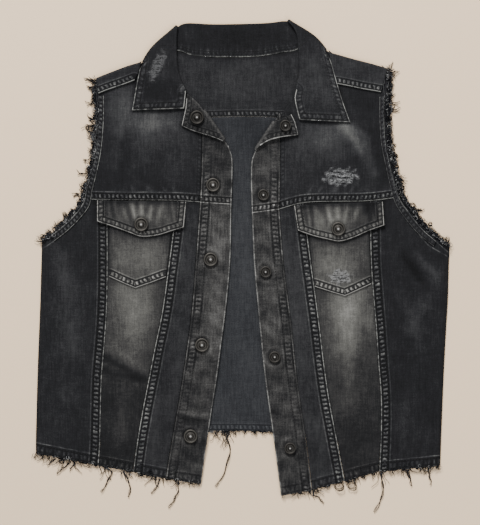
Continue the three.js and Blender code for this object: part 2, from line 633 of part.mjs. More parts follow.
// Placket with the front's top corner turned out: a strip up to the fold, round it, and on as the lapel.
function placket(side, rows, ends, front, lapel, first, edgeTop) {
  const foldColumns = lapel.slice(first);
  const steps = foldColumns.length - 1;
  const innerLine = [...pick(front, "x", "y").filter(([, y]) => y < foldColumns[0].foldY), ...column(rows, ends, 3, "placket").slice(1)];
  const edgeLine = [...spline([...edgeTop, [ends[4].topX, ends[4].topY]]), ...column(rows, ends, 4, "edge").slice(1)];
  const innerEdge = along([[foldColumns[0].foldX, foldColumns[0].foldY], ...innerLine]);
  const edge = along([[foldColumns.at(-1).foldX, foldColumns.at(-1).foldY], ...edgeLine]);
  const hem = along([[ends[3].hemX, ends[3].hemY], [ends[4].hemX, ends[4].hemY]]);
  const fold = (u) => {
    const k = Math.min(steps - 1, Math.floor(u * steps));
    return mixPoint([foldColumns[k].foldX, foldColumns[k].foldY], [foldColumns[k + 1].foldX, foldColumns[k + 1].foldY], u * steps - k);
  };
  const surface = patch(hem, fold, (v) => innerEdge(1 - v), (v) => edge(1 - v));
  const vs = [0, 0.05, 0.11, 0.18, 0.26, 0.34, 0.42, 0.5, 0.58, 0.66, 0.74, 0.81, 0.87, 0.93, 1];
  const us = foldColumns.map((row, k) => k / steps);
  const strip = inset(gridOf(surface, us, vs), { left: GAP / 2 });
  const corner = lapel.slice(0, first).map((row) => [row.foldX, row.foldY]);
  const outer = [];
  const inner = [];
  for (const line of strip) {
    const whole = [...corner, ...line];
    outer.push(whole.map(([x, y]) => [x, y, frontLift(x, y)]));
    inner.push(whole.map(([x, y]) => [x, y, frontLift(x, y) + PLACKET]));
  }
  const top = outer.at(-1);
  const ends2 = [foldColumns[0], foldColumns.at(-1)];
  const away = new THREE.Vector2(ends2[0].foldY - ends2[1].foldY, ends2[1].foldX - ends2[0].foldX).normalize();
  if (away.y < 0) away.negate();
  for (const turn of [45, 90, 135]) {
    const angle = THREE.MathUtils.degToRad(turn);
    const thickness = mix(PLACKET, LAPEL, turn / 180);
    const at = ([x, y, z], radius) => [
      x + away.x * radius * Math.sin(angle),
      y + away.y * radius * Math.sin(angle),
      z + PLACKET + GAP / 2 - radius * Math.cos(angle),
    ];
    outer.push(top.map((point) => at(point, GAP / 2 + thickness)));
    inner.push(top.map((point) => at(point, GAP / 2)));
  }
  const overPlacket = (x) => ease((foldColumns[0].foldX * (side === "l" ? 1 : -1) * -1 + (side === "l" ? x : -x) + 14) / 14);
  const under = (x, y) => frontLift(x, y) + mix(CLOTH, PLACKET, overPlacket(x)) + GAP;
  for (const share of [0, 0.25, 0.5, 0.75, 1]) {
    const line = lapel.map((row, k) => {
      const from = [top[k][0], top[k][1]];
      return mixPoint(from, [row.edgeX, row.edgeY], share);
    });
    const soft = SOFT * Math.sin(Math.PI * share);
    inner.push(line.map(([x, y]) => [x, y, under(x, y) + soft]));
    outer.push(line.map(([x, y]) => [x, y, under(x, y) + soft + LAPEL]));
  }
  const turned = vs.length - 1;
  const flat = turned + 4;
  const present = (i, j) => {
    if (i < turned) return j >= first;
    const shows = lapel[j].shows && lapel[j + 1].shows;
    return shows && (i >= flat || j >= first);
  };
  add(`placket_${side}`, "worn", wall(outer, inner, present));
}

// Pocket patch on the middle panel, pointed at the bottom.
function pocket(side, rows, top, insetTop) {
  const vs = [0, 0.12, 0.3, 0.5, 0.75, 1];
  const [first, last] = insetTop;
  const grid = vs.map((v) => rows.map((row, k) => {
    const topX = mix(first, last, k / (rows.length - 1));
    return [mix(row.x, topX, v), mix(row.bottom, top, v)];
  }));
  add(`pocket_${side}`, "faded", sheet(grid, (x, y) => frontTop(x, y) + GAP, () => POCKET));
}

// Flap over the pocket, from under the yoke seam down to its point.
function flap(side, rows, tops) {
  const vs = [0, 0.25, 0.5, 0.75, 1];
  const grid = vs.map((v) => rows.map((row, k) => {
    const top = mix(tops[0], tops[1], k / (rows.length - 1));
    return [mix(row.x, row.topX, v), mix(row.bottom, top, v)];
  }));
  const under = (x, y) => frontTop(x, y) + GAP + POCKET + GAP + SPARE;
  add(`pocket_flap_${side}`, "faded", sheet(grid, under, () => FLAP));
}

// Raised felled seam round the armhole, on the yoke and the side panel.
function armholeBand(side, rows) {
  const outerLine = along(spline(pick(rows, "outerX", "outerY")));
  const innerLine = along(spline(pick(rows, "innerX", "innerY")));
  const steps = 22;
  const grid = Array.from({ length: steps + 1 }, (_, k) =>
    [0, 0.5, 1].map((share) => mixPoint(outerLine(k / steps), innerLine(k / steps), share)));
  add(`armhole_band_${side}`, "denim", sheet(grid, (x, y) => frontTop(x, y) + GAP + SPARE, () => FELL));
}

// Middle rows between rows of the same turn, so that the collar bends softly.
function refined(rows) {
  const fine = [];
  rows.forEach((row, k) => {
    fine.push(row);
    const next = rows[k + 1];
    if (!next || next.turn !== row.turn || next.stand !== row.stand || row.turn !== 180) return;
    const before = rows[k - 1]?.turn === row.turn ? rows[k - 1] : row;
    const after = rows[k + 2]?.turn === row.turn ? rows[k + 2] : next;
    const middle = {};
    for (const key of Object.keys(row)) {
      middle[key] = (9 * (row[key] + next[key]) - before[key] - after[key]) / 16;
    }
    fine.push({ ...middle, turn: row.turn, stand: row.stand });
  });
  return fine;
}

// Collar: one strip from the neck seam up to the roll line and down to the free edge.
function collar() {
  const stations = refined(COLLAR);
  const standLevel = LEVEL / 2;
  const leafLevel = 1.5 * LEVEL;
  const middle = 2 * LEVEL - GAP / 2;
  const onCorner = LEVEL + LEAF_RISE;
  const profile = [
    ...[0, 0.5, 1].map((share) => ({ part: "stand", share })),
    ...[45, 90, 135].map((angle) => ({ part: "roll", angle: THREE.MathUtils.degToRad(angle) })),
    ...[0, 0.15, 0.35, 0.58, 0.8, 1].map((share) => ({ part: "leaf", share })),
  ];
  const leafStart = profile.findIndex((point) => point.part === "leaf");
  const at = (row, step, side) => {
    const seam = [row.seamX, row.seamY];
    const roll = [row.rollX, row.rollY];
    const edge = [row.edgeX, row.edgeY];
    const back = [roll[0] - (seam[0] + edge[0]) / 2, roll[1] - (seam[1] + edge[1]) / 2];
    const length = Math.hypot(...back);
    const [dx, dy] = [back[0] / length, back[1] / length];
    let spot = roll;
    let radius = 0;
    let lift = 0;
    if (step.part === "stand") {
      spot = mixPoint(seam, roll, step.share);
      radius = standLevel - side * (CLOTH / 2);
    } else if (step.part === "leaf") {
      spot = mixPoint(roll, edge, step.share);
      radius = leafLevel + side * (CLOTH / 2);
      lift = row.puff * Math.sin(Math.PI * step.share ** 0.8) + 0.25 * Math.min(1, row.puff);
    } else {
      const bend = LEVEL / 2 + side * (CLOTH / 2);
      const out = bend * Math.sin(step.angle);
      spot = [roll[0] + dx * out, roll[1] + dy * out];
      radius = LEVEL - bend * Math.cos(step.angle);
    }
    const angle = THREE.MathUtils.degToRad(row.turn);
    const sideways = radius * Math.sin(angle) * (row.edgeX < 0 ? 1 : -1);
    const [ax, ay] = [roll[0] - edge[0], roll[1] - edge[1]];
    const reach = Math.hypot(ax, ay);
    const [x, y] = [spot[0] - (ay / reach) * sideways, spot[1] + (ax / reach) * sideways];
    const base = middle - radius * Math.cos(angle);
    return [x, y, row.turn === 180 ? base + frontLift(x, y) - onCorner + lift : base];
  };
  const outer = stations.map((row) => profile.map((step) => at(row, step, 1)));
  const inner = stations.map((row) => profile.map((step) => at(row, step, -1)));
  const present = (i, j) => j >= leafStart || (stations[i].stand > 0 && stations[i + 1].stand > 0);
  add("collar", "denim", wall(outer, inner, present));
}

// Metal cap or stud: a ring round a small dome, turned about its own axis.
function button({ name, x, y, kind }) {
  const size = kind === "cap" ? CAP : STUD;
  const onFlap = name.startsWith("cap_flap");
  const onLapel = name.includes("lapel");
  const rise = onFlap ? CLOTH + 2 * GAP + POCKET + SPARE + FLAP : onLapel ? PLACKET + GAP + LAPEL + SOFT : PLACKET;
  let base = 0;
  for (let k = 0; k < 12; k++) {
    const angle = (k * Math.PI) / 6;
    base = Math.max(base, frontLift(x + size.radius * Math.cos(angle), y + size.radius * Math.sin(angle)));
  }
  const profile = [
    [0, 0],
    [size.radius - 0.5, 0],
    [size.radius, size.height * 0.35],
    [size.radius - 0.5, size.height * 0.8],
    [size.radius - size.rim, size.height * 0.72],
    [size.dome, size.height * 0.55],
    [size.dome * 0.7, size.height],
    [0, size.height * 1.06],
  ].map(([r, z]) => new THREE.Vector2(r, z));
  const geometry = new THREE.LatheGeometry(profile, 14);
  geometry.rotateX(Math.PI / 2);
  const mesh = add(name, "metal", geometry);
  mesh.position.set(x, y, base + rise + GAP);
}

const solidFrom = (geometry) =>
  new Manifold(new SolidMesh({
    numProp: 3,
    vertProperties: new Float32Array(geometry.getAttribute("position").array),
    triVerts: new Uint32Array(geometry.getIndex().array),
  }));

// A thread of three sides along a line of points, thinner towards its end.
function thread(line, radius) {
  const rings = line.map((point, k) => {
    const [before, after] = [line[Math.max(0, k - 1)], line[Math.min(line.length - 1, k + 1)]];
    const ahead = new THREE.Vector3(after[0] - before[0], after[1] - before[1], after[2] - before[2]).normalize();
    const across = new THREE.Vector3(-ahead.y, ahead.x, 0).normalize();
    const over = new THREE.Vector3().crossVectors(ahead, across);
    const size = radius * mix(1, 0.55, k / (line.length - 1));
    return [90, 210, 330].map((turn) => {
      const angle = THREE.MathUtils.degToRad(turn);
      const spot = new THREE.Vector3(...point);
      return spot.addScaledVector(across, size * Math.cos(angle)).addScaledVector(over, size * Math.sin(angle)).toArray();
    });
  });
  const faces = [[0, 2, 1]];
  for (let k = 0; k < rings.length - 1; k++) {
    for (let s = 0; s < 3; s++) {
      const [a, b] = [3 * k + s, 3 * k + ((s + 1) % 3)];
      faces.push([a, b, b + 3], [a, b + 3, a + 3]);
    }
  }
  const last = 3 * (rings.length - 1);
  faces.push([last, last + 1, last + 2]);
  return solidFrom(closed(rings.flat(), faces));
}

// Frayed edge: a narrow strip beside the raw edge, with threads that stand out of it.
function fringe(name, line, level, count, reach, away, extra = []) {
  const path = along(line);
  const places = sharesOf(line);
  const ts = line.length > 12
    ? Array.from({ length: 27 }, (_, k) => k / 26)
    : places.flatMap((share, k) => (k ? [mix(places[k - 1], share, 0.5), share] : [share]));
  const normal = (t) => {
    const [p, q] = [path(t - 0.01), path(t + 0.01)];
    const length = Math.hypot(q[0] - p[0], q[1] - p[1]);
    return [(away * (q[1] - p[1])) / length, (-away * (q[0] - p[0])) / length];
  };
  const offset = (t, distance) => path(t).map((value, k) => value + normal(t)[k] * distance);
  const grid = ts.map((t) => [2 * GAP, 1.7].map((distance) => offset(mix(0.012, 0.988, t), distance)));
  const strip = solidFrom(sheet(grid, (x, y) => level(x, y) + 0.25, () => 0.9));
  const threads = [];
  for (let k = 0; k < count; k++) {
    const t = mix(0.03, 0.97, (k + 0.5 * ((k * 0.618) % 1)) / count);
    const length = reach * (0.55 + 0.45 * Math.sin(k * 2.4) ** 2);
    const lean = 0.22 * Math.sin(k * 1.7);
    const [n, root] = [normal(t), offset(t, 1.15)];
    const high = level(...root) + 0.7;
    const low = Math.min(high, 0.75);
    threads.push(thread([0, 0.5, 1].map((share) => [
      root[0] + (n[0] - n[1] * lean * share) * length * share,
      root[1] + (n[1] + n[0] * lean * share) * length * share,
      mix(high, low, ease(share * 1.2)),
    ]), 0.42));
  }
  for (const row of extra) {
    const plan = [0, 1, 2, 3].map((k) => [row[`x${k}`], row[`y${k}`]]);
    const high = level(...plan[0]) + 0.7;
    threads.push(thread(plan.map(([x, y], k) => [x, y, k === 0 ? high : 0.75]), 0.42));
  }
  const solid = Manifold.union([strip, ...threads]).getMesh();
  const points = [];
  for (let k = 0; k < solid.vertProperties.length; k += solid.numProp) {
    points.push(Array.from(solid.vertProperties.slice(k, k + 3)));
  }
  const faces = [];
  for (let k = 0; k < solid.triVerts.length; k += 3) {
    faces.push(Array.from(solid.triVerts.slice(k, k + 3)));
  }
  add(name, "fray", closed(points, faces));
}

function fringes() {
  const hem = (ends) => ends.map((row) => [row.hemX, row.hemY]);
  const middle = HEM_LINE.filter(([x]) => Math.abs(x) < 30);
  const threadsOf = (key) => THREADS.filter((row) => row.hem === key);
  fringe("hem_fringe_l", hem(ENDS_L), frontLift, 26, 5.5, 1, threadsOf("l"));
  fringe("hem_fringe_r", hem(ENDS_R).reverse(), frontLift, 26, 5.5, 1, threadsOf("r"));
  fringe("hem_fringe_back", [[-31, heightAt(HEM_LINE, -31)], ...middle, [29, heightAt(HEM_LINE, 29)]], () => 0, 9, 5, 1, threadsOf("b"));
  fringe("armhole_fringe_l", spline(pick(ARMHOLE_L, "x", "y")), frontLift, 34, 6.5, 1);
  fringe("armhole_fringe_r", spline(pick(ARMHOLE_R, "x", "y")), frontLift, 34, 6.5, -1);
}

backPanel();
backYoke();
const shoulderL = BACK_YOKE.slice(0, 7).map((row) => [row.topX, row.topY - 2 * GAP]);
const shoulderR = BACK_YOKE.slice(16).map((row) => [row.topX, row.topY - 2 * GAP]);
const yokeEnds = (ends) => ends.slice(1, 4).map((row) => [row.topX, row.topY]);
const neckOf = (side) => COLLAR.filter((row) => row.turn === 180 && row.stand && row.edgeX * side > 0);
frontYoke("l", ARMHOLE_L.slice(0, 7), neckOf(-1).reverse(), YOKE_FRONT_L, yokeEnds(ENDS_L), shoulderL);
frontYoke("r", ARMHOLE_R.slice(0, 7), neckOf(1), YOKE_FRONT_R, yokeEnds(ENDS_R), shoulderR.reverse());
lowerFront("l", LOWER_L, ENDS_L, ARMHOLE_L);
lowerFront("r", LOWER_R, ENDS_R, ARMHOLE_R);
placket("l", LOWER_L, ENDS_L, YOKE_FRONT_L, LAPEL_L, 4, [[-15.2, 128], [-11.2, 115], [-11, 94.9]]);
placket("r", LOWER_R, ENDS_R, YOKE_FRONT_R, LAPEL_R, 0, [[15.6, 124], [11.2, 112], [10.3, 89.7]]);
pocket("l", POCKET_L, POCKET_TOP.left, [-152, -78.4]);
pocket("r", POCKET_R, POCKET_TOP.right, [73.8, 144.2]);
flap("l", FLAP_L, [66, 64.4]);
flap("r", FLAP_R, [60, 64.6]);
armholeBand("l", BAND_L);
armholeBand("r", BAND_R);
collar();
BUTTONS.forEach(button);
fringes();

export default vest;
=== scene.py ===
import math

import bpy
import numpy as np
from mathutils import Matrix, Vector
from mathutils.bvhtree import BVHTree


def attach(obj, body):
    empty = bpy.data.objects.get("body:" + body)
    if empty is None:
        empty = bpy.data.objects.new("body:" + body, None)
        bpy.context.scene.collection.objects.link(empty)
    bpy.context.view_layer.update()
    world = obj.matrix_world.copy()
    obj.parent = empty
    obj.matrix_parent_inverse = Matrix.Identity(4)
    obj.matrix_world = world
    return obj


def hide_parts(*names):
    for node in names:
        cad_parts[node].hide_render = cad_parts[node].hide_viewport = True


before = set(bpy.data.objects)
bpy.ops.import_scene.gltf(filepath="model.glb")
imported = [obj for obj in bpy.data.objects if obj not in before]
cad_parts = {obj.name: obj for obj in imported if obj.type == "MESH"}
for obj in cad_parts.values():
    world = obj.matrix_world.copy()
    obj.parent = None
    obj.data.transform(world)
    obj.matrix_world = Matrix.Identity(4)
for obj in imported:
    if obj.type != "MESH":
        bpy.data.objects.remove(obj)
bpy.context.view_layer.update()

CELL = 1.8  # spacing of the points on a panel
FINE = 1.15  # and across and along a puckered seam
RIM = 0.5  # width of the rounded border of a panel

# Thicknesses of the pieces, and the room between them.
CLOTH = 1.4
PLACKET = 2.4
LAPEL = 2.0
POCKET = 0.9
FLAP = 1.5
FELL = 0.8  # rise of a felled seam
GAP = 0.3
SPARE = 0.1
LEVEL = CLOTH + GAP
SOFT = 0.7  # rise of a lapel between its fold and its edge

# Widths of the stitched bands along seams and edges.
HEM_BAND = 11.5
FELL_BAND = 11.8
FRONT_BAND = 13
YOKE_BAND = 9.4
CROSS_BAND = 9.2  # the yoke seam where it crosses the placket
LAP_BAND = 8.6
BACK_BAND = 8
POCKET_BAND = 9.2
FLAP_BAND = 8.8
ARMHOLE_BAND = 6.6
LEAF_BAND = 9.2
STAND_BAND = 7.5

RAMP = 28  # length over which cloth climbs on to the collar's leaf
HEM_RAMP = 34  # and the fronts on to the back
LADDER = 5.0  # one light bar and one dark gap of a puckered seam
STITCH = 3.3  # from one stitch to the next
CLUMP = 2.4  # along a raw edge, from one clump of fray to the next
WEAR_SEED = 7
TURN = {"l": 1, "r": -1}


# A table with named columns: each row becomes a dictionary.
def table(names, rows):
    return [dict(zip(names.split(), row)) for row in rows]


def pick(rows, *names):
    return np.array([[row[name] for name in names] for row in rows], float)


# Lower seams of each front, one row for each height.
LOWER_L = table("y side outer inner placket edge", [
    [-4.6, -230.6, -154.1, -83.9, -53.1, -13.6],
    [-62.1, -232.3, -155.2, -92, -57.8, -19],
    [-101.2, -233.9, -157.9, -100, -62.9, -24.1],
    [-139.1, -235.2, -161, -107.4, -68.4, -29.1],
    [-178.2, -236.2, -162.1, -115, -74.9, -35.2],
    [-216.2, -237, -163.1, -121.3, -81.6, -40.9],
])
LOWER_R = table("y side outer inner placket edge", [
    [-4.6, 237.8, 147.9, 79.3, 47.7, 13.8],
    [-43.1, 236.8, 150.6, 84.6, 52.6, 17],
    [-81.6, 234.6, 153.8, 89.7, 57.4, 20.7],
    [-120.2, 232.5, 156.4, 94.3, 61.3, 24.4],
    [-158.7, 230.8, 159.3, 99.8, 66.1, 29.2],
    [-197.2, 229.3, 159.4, 106.9, 71.9, 34.8],
])

# Where those seams begin at the yoke and end at the hem.
ENDS_L = table("topX topY hemX hemY", [
    [-230, 20.1, -236.7, -224.2], [-154.8, 66.4, -164.7, -238.6], [-74.8, 65.5, -125.3, -246.1],
    [-48.1, 63.8, -87.6, -253.6], [-12.2, 61.4, -47.1, -259.9],
])
ENDS_R = table("topX topY hemX hemY", [
    [238.7, 12.6, 227.8, -238.6], [146.7, 65.3, 157.5, -245.5], [70.6, 63, 118.1, -256],
    [43, 55.8, 80.5, -266.6], [11.4, 51.7, 44.8, -273.4],
])

# Edge of the cloth round each armhole, from the shoulder to the yoke seam and on to the underarm.
ARMHOLE_L = np.array([
    [-168.7, 202.9], [-168.1, 188], [-167.9, 167.9], [-169.6, 133.4], [-174.2, 101.2], [-178.8, 83.9],
    [-184.6, 67.4], [-190.3, 56.3], [-201.2, 44.3], [-213.9, 30.5], [-230, 20.1],
])
ARMHOLE_R = np.array([
    [168.6, 213.7], [168.5, 190.3], [167.7, 164.4], [169.4, 133.4], [174.8, 104.6], [180, 86.2],
    [184, 70.1], [194.3, 56.3], [210.4, 36.2], [224.2, 24.1], [238.7, 12.6],
])

# Front seam of each front yoke, from the end of the neck seam down to the yoke seam.
YOKE_FRONT_L = np.array([
    [-70.1, 187.4], [-63.7, 185.6], [-54, 177.6], [-45.1, 167.2], [-45.3, 147.2], [-46.5, 95.4],
    [-48.1, 63.8],
])
YOKE_FRONT_R = np.array([
    [63.2, 182.2], [58.4, 181.1], [51.7, 174.8], [44.4, 164.4], [43.7, 135.7], [43.7, 95.4], [43, 55.8],
])


# One place of the collar where its leaf turns from over the front to under the back.
def turning(place, turns):
    return [[*place, turn, 0, 1] for turn in turns]


# The collar, one row for each section: neck seam, roll line and free edge, seen from above.
# turn is 180 where the leaf lies over the front, 0 where it lies under the back, and between at the corners.
# puff is how far the leaf stands up between roll and edge; stand is 0 where the collar's end has none.
COLLAR = table("seamX seamY rollX rollY edgeX edgeY turn puff stand", [
    [-68.3, 171.7, -66.5, 171.6, -126.3, 169.5, 180, 1, 0],
    [-69.5, 182.8, -65.2, 183.5, -124.3, 180.5, 180, 1.6, 0],
    [-73.1, 190.9, -64.9, 192.7, -122.6, 190.9, 180, 2, 1],
    [-80.5, 200.1, -70.6, 204.1, -120.5, 202.4, 180, 2.2, 1],
    [-86.7, 210.4, -74.2, 215.9, -118.6, 211.6, 180, 2, 1],
    [-91.5, 220.8, -75.6, 230, -117, 217.3, 180, 1.6, 1],
    [-94.8, 228.8, -75.8, 243.8, -115, 220.6, 180, 1, 1],
    [-97.1, 234.6, -75.6, 255.3, -113.5, 222.2, 180, 0.4, 1],
    *turning([-98.2, 239, -74.5, 264.7, -112.7, 223.1], [180, 135, 90, 45, 0]),
    [-86.2, 237.6, -69.6, 267.3, -101.2, 219.2, 0, 0, 1],
    [-71.3, 237.6, -62.1, 268.4, -82.8, 218, 0, 0, 1],
    [-58.6, 233.2, -52.9, 268.1, -63.2, 218.5, 0, 0, 1],
    [-35.6, 230.9, -35.6, 267.1, -39.1, 219.6, 0, 0, 1],
    [-18.4, 230.7, -18.4, 267.1, -18.4, 220.3, 0, 0, 1],
    [0, 230.7, 0, 267.5, 0, 220.8, 0, 0, 1],
    [23, 232, 23, 268.2, 27.6, 221.9, 0, 0, 1],
    [46, 236, 36.8, 269.3, 52.9, 224.2, 0, 0, 1],
    [63.2, 239.2, 46, 270.7, 75.9, 228.2, 0, 0, 1],
    *turning([78.7, 250.5, 53.1, 271.2, 95.7, 236.7], [0, 45, 90, 135, 180]),
    [80.7, 244.9, 59.6, 263.8, 97.7, 234.1, 180, 0.4, 1],
    [81.6, 238.7, 63.9, 254.1, 99.8, 230.5, 180, 1, 1],
    [81.4, 227.7, 65.5, 239.2, 102.9, 223.1, 180, 1.6, 1],
    [79.1, 216.2, 66.4, 223.1, 106.9, 209.3, 180, 2, 1],
    [74.8, 202.4, 66, 208.1, 111.5, 193.2, 180, 2.2, 1],
    [67.6, 187.4, 62.1, 192.7, 116.6, 177.1, 180, 2, 1],
    [65.1, 179.4, 60.8, 180.5, 120.3, 166.8, 180, 1.6, 0],
    [67.8, 158.7, 66, 158.5, 124.4, 155.7, 180, 1, 0],
])

# The back yoke, one row for each place along its top: shoulder edge or neck seam, and its lower seam.
# lap is where the yoke ends once it has turned over the shoulder on to the front, where wraps is 1.
BACK_YOKE = table("topX topY seamX seamY lapX lapY wraps", [
    [-168.4, 204.2, -166.2, 161, -164.9, 188.8, 1],
    [-156.4, 208.6, -154.1, 161, -155.2, 192.7, 1],
    [-143.8, 213.4, -141.4, 161, -143.8, 196.6, 1],
    [-131.1, 218, -128.8, 161, -132.2, 200.6, 1],
    [-118.9, 222.1, -118.4, 161, -123.5, 204, 1],
    [-112.9, 225.6, -105.8, 161, -112.9, 225.6, 0],
    [-98.2, 238.5, -93.1, 161, -98.2, 239.2, 0],
    [-86.2, 236.9, -80.5, 161, -86.2, 239.2, 0],
    [-71.3, 236.9, -66.7, 161, -71.3, 239.2, 0],
    [-58.6, 232.8, -51.7, 161, -58.6, 239.2, 0],
    [-35.6, 230.2, -33.3, 161.7, -35.6, 239.2, 0],
    [-18.4, 230, -16.1, 162.2, -18.4, 239.2, 0],
    [0, 230, 1.1, 162.4, 0, 239.2, 0],
    [23, 231.3, 21.8, 162.2, 23, 239.2, 0],
    [46, 235.3, 42.5, 161.7, 46, 239.2, 0],
    [63.2, 238.5, 59.8, 161, 63.2, 239.2, 0],
    [78.7, 249.9, 75.9, 161, 78.2, 239.2, 0],
    [97, 238.6, 94.3, 161, 97, 238.6, 0],
    [104.2, 232.8, 108.1, 161, 109.9, 199.9, 1],
    [119.6, 228.4, 123, 161, 124.2, 197.1, 1],
    [135.7, 224, 138, 161, 139.1, 193.9, 1],
    [151.8, 219.5, 152.9, 161, 150.6, 192, 1],
    [167.9, 215, 165.6, 161, 159.4, 190.4, 1],
])

# Top corner of each front, turned out along a fold: fold line and free edge.
# shows is 0 where only the placket's own end reaches the fold.
LAPEL_L = table("foldX foldY edgeX edgeY shows", [
    [-62.6, 188.8, -63.9, 182.4, 1],
    [-58.6, 185.1, -64.9, 171.3, 1],
    [-54, 181.1, -67.2, 161.5, 1],
    [-49.4, 176.5, -69.3, 151.8, 1],
    [-44.4, 169.5, -59.2, 147, 1],
    [-38.5, 161.7, -49, 143.5, 1],
    [-32.4, 152.9, -38.6, 140.3, 1],
    [-26.2, 143.8, -29.9, 137.3, 1],
    [-20.5, 135.5, -22.3, 134.1, 1],
    [-15.2, 128.1, -17.2, 127.6, 0],
])
LAPEL_R = table("foldX foldY edgeX edgeY shows", [
    [43.2, 166.5, 55.2, 165.6, 0],
    [36.8, 156.1, 56.8, 164.7, 1],
    [32.9, 150, 60.7, 157.1, 1],
    [29.2, 144.4, 63.2, 148.3, 1],
    [25.8, 139.1, 64.6, 141, 1],
    [22.3, 134.1, 48.8, 139.4, 1],
    [18.9, 129, 33.3, 136.4, 1],
    [15.6, 124, 21.4, 129.9, 1],
])

# Felled seam round each armhole: its outer and inner line.
BAND_L = table("outerX outerY innerX innerY", [
    [-164.7, 185.1, -158.9, 186.3], [-164.7, 162.1, -158.9, 158.7], [-167.2, 124.2, -161.7, 124.2],
    [-173, 97.2, -166.8, 97.7], [-178.7, 79.3, -171.8, 78.2], [-182.4, 63.7, -175.3, 60.5],
    [-190.9, 51.7, -185.8, 46], [-204, 38.4, -200.8, 31], [-217.8, 26.4, -215.5, 19.5],
])
BAND_R = table("outerX outerY innerX innerY", [
    [164, 186.3, 158, 185.1], [163.5, 162.1, 158, 158.7], [165.1, 131.1, 160.3, 128.8],
    [170.2, 105.8, 165.6, 103.5], [175.5, 85.1, 170.2, 82.8], [181.5, 67.2, 175.9, 63.2],
    [192.5, 51.7, 186.3, 46.7], [207.7, 32.7, 203.1, 27.1], [223.1, 19.1, 220.3, 13.3],
])

# Where the lines of each armhole's band run on over the side panel to the side.
BAND_ENDS = {
    "l": ([[-218.2, 26.2], [-225, 21.4], [-232.3, 16.6]], [[-215.8, 19.4], [-224, 14], [-232.3, 9.4]]),
    "r": ([[223.1, 19.1], [230, 12.6], [238, 6]], [[203.1, 27.1], [214, 14.5], [236.4, 1.6]]),
}

# Yarns that wander along an armhole's raw edge: line, distance to its left, and tone.
EDGE_YARNS = [
    (ARMHOLE_R[:8], -5.5, 0.62),
    (ARMHOLE_R[6:], -3.0, 0.3),
    (ARMHOLE_L[:8], 1.6, 0.55),
]

# Flap and pocket on each middle panel: lower edge, and the ends of their tops.
FLAP_L = table("x bottom topX", [
    [-166.3, 42, -166.3], [-155.2, 38.4, -154.8], [-143.8, 34.5, -143.8], [-129.9, 29.4, -129.9],
    [-115.9, 24.6, -115.9], [-95.7, 26.4, -95.7], [-81.6, 30.8, -80.5], [-66.8, 35.3, -64.2],
])
FLAP_R = table("x bottom topX", [
    [64.3, 31.5, 59.8], [73.6, 28.1, 70.1], [83.8, 24.8, 81.6], [97.7, 21.6, 96.6],
    [111.4, 19.1, 110.9], [126.7, 23, 126.5], [144.9, 31, 143.8], [163.3, 37.5, 161.5],
])
FLAP_TOPS = {"l": (66, 64.4), "r": (60, 64.6)}
POCKET_L = np.array([
    [-152.5, -21.4], [-138, -28.1], [-122.6, -34.5], [-104.6, -28.3], [-87.4, -21.8],
])
POCKET_R = np.array([
    [83.5, -32.9], [101.2, -38.6], [118.1, -43.7], [133.4, -36.8], [148.3, -29.9],
])

# Hem of the back, seen between the fronts.
BACK_HEM = np.array([
    [-231.1, -220.2], [-163.3, -210.4], [-82.8, -201.2], [-2.3, -198.9], [72.4, -202.9],
    [147.2, -216.2], [222.4, -234.6],
])

# Metal buttons: place, kind, and what each is fixed to.
BUTTONS = table("name x y kind on", [
    ["cap_lapel_l", -51.7, 161.2, "cap", "lapel"],
    ["cap_1_l", -33.3, 83.9, "cap", "placket"],
    ["cap_2_l", -36.1, -1.7, "cap", "placket"],
    ["cap_3_l", -46, -100, "cap", "placket"],
    ["cap_4_l", -59.1, -204.7, "cap", "placket"],
    ["cap_flap_l", -115.7, 38.4, "cap", "flap"],
    ["stud_lapel_r", 49.9, 151.8, "stud", "lapel"],
    ["stud_1_r", 24.6, 72.4, "stud", "placket"],
    ["stud_2_r", 27.1, -16.1, "stud", "placket"],
    ["stud_3_r", 37.5, -113.8, "stud", "placket"],
    ["stud_4_r", 55.2, -218.5, "stud", "placket"],
    ["cap_flap_r", 110.4, 33.3, "cap", "flap"],
])

# Largest folds: a soft ridge from one point to another.
FOLDS = table("x0 y0 x1 y1 width height", [
    [117.3, 151.8, 142.6, 133.4, 9, 2.2], [142.6, 133.4, 154.1, 98.9, 9, 1.6],
    [-149.5, -119.6, -110.4, -139.1, 6, 1.2], [-149.5, -131.1, -121.9, -146, 6, 1],
    [-135.7, -157.5, -138, -209.3, 9, 1], [225.4, -20.7, 195.5, -82.8, 11, 1.4],
    [118.4, -69, 126.5, -163.3, 12, 1.2], [-207, -4.6, -193.2, -105.8, 12, 1.2],
    [-105.8, 172.5, -110.4, 112.7, 12, 1.2],
])

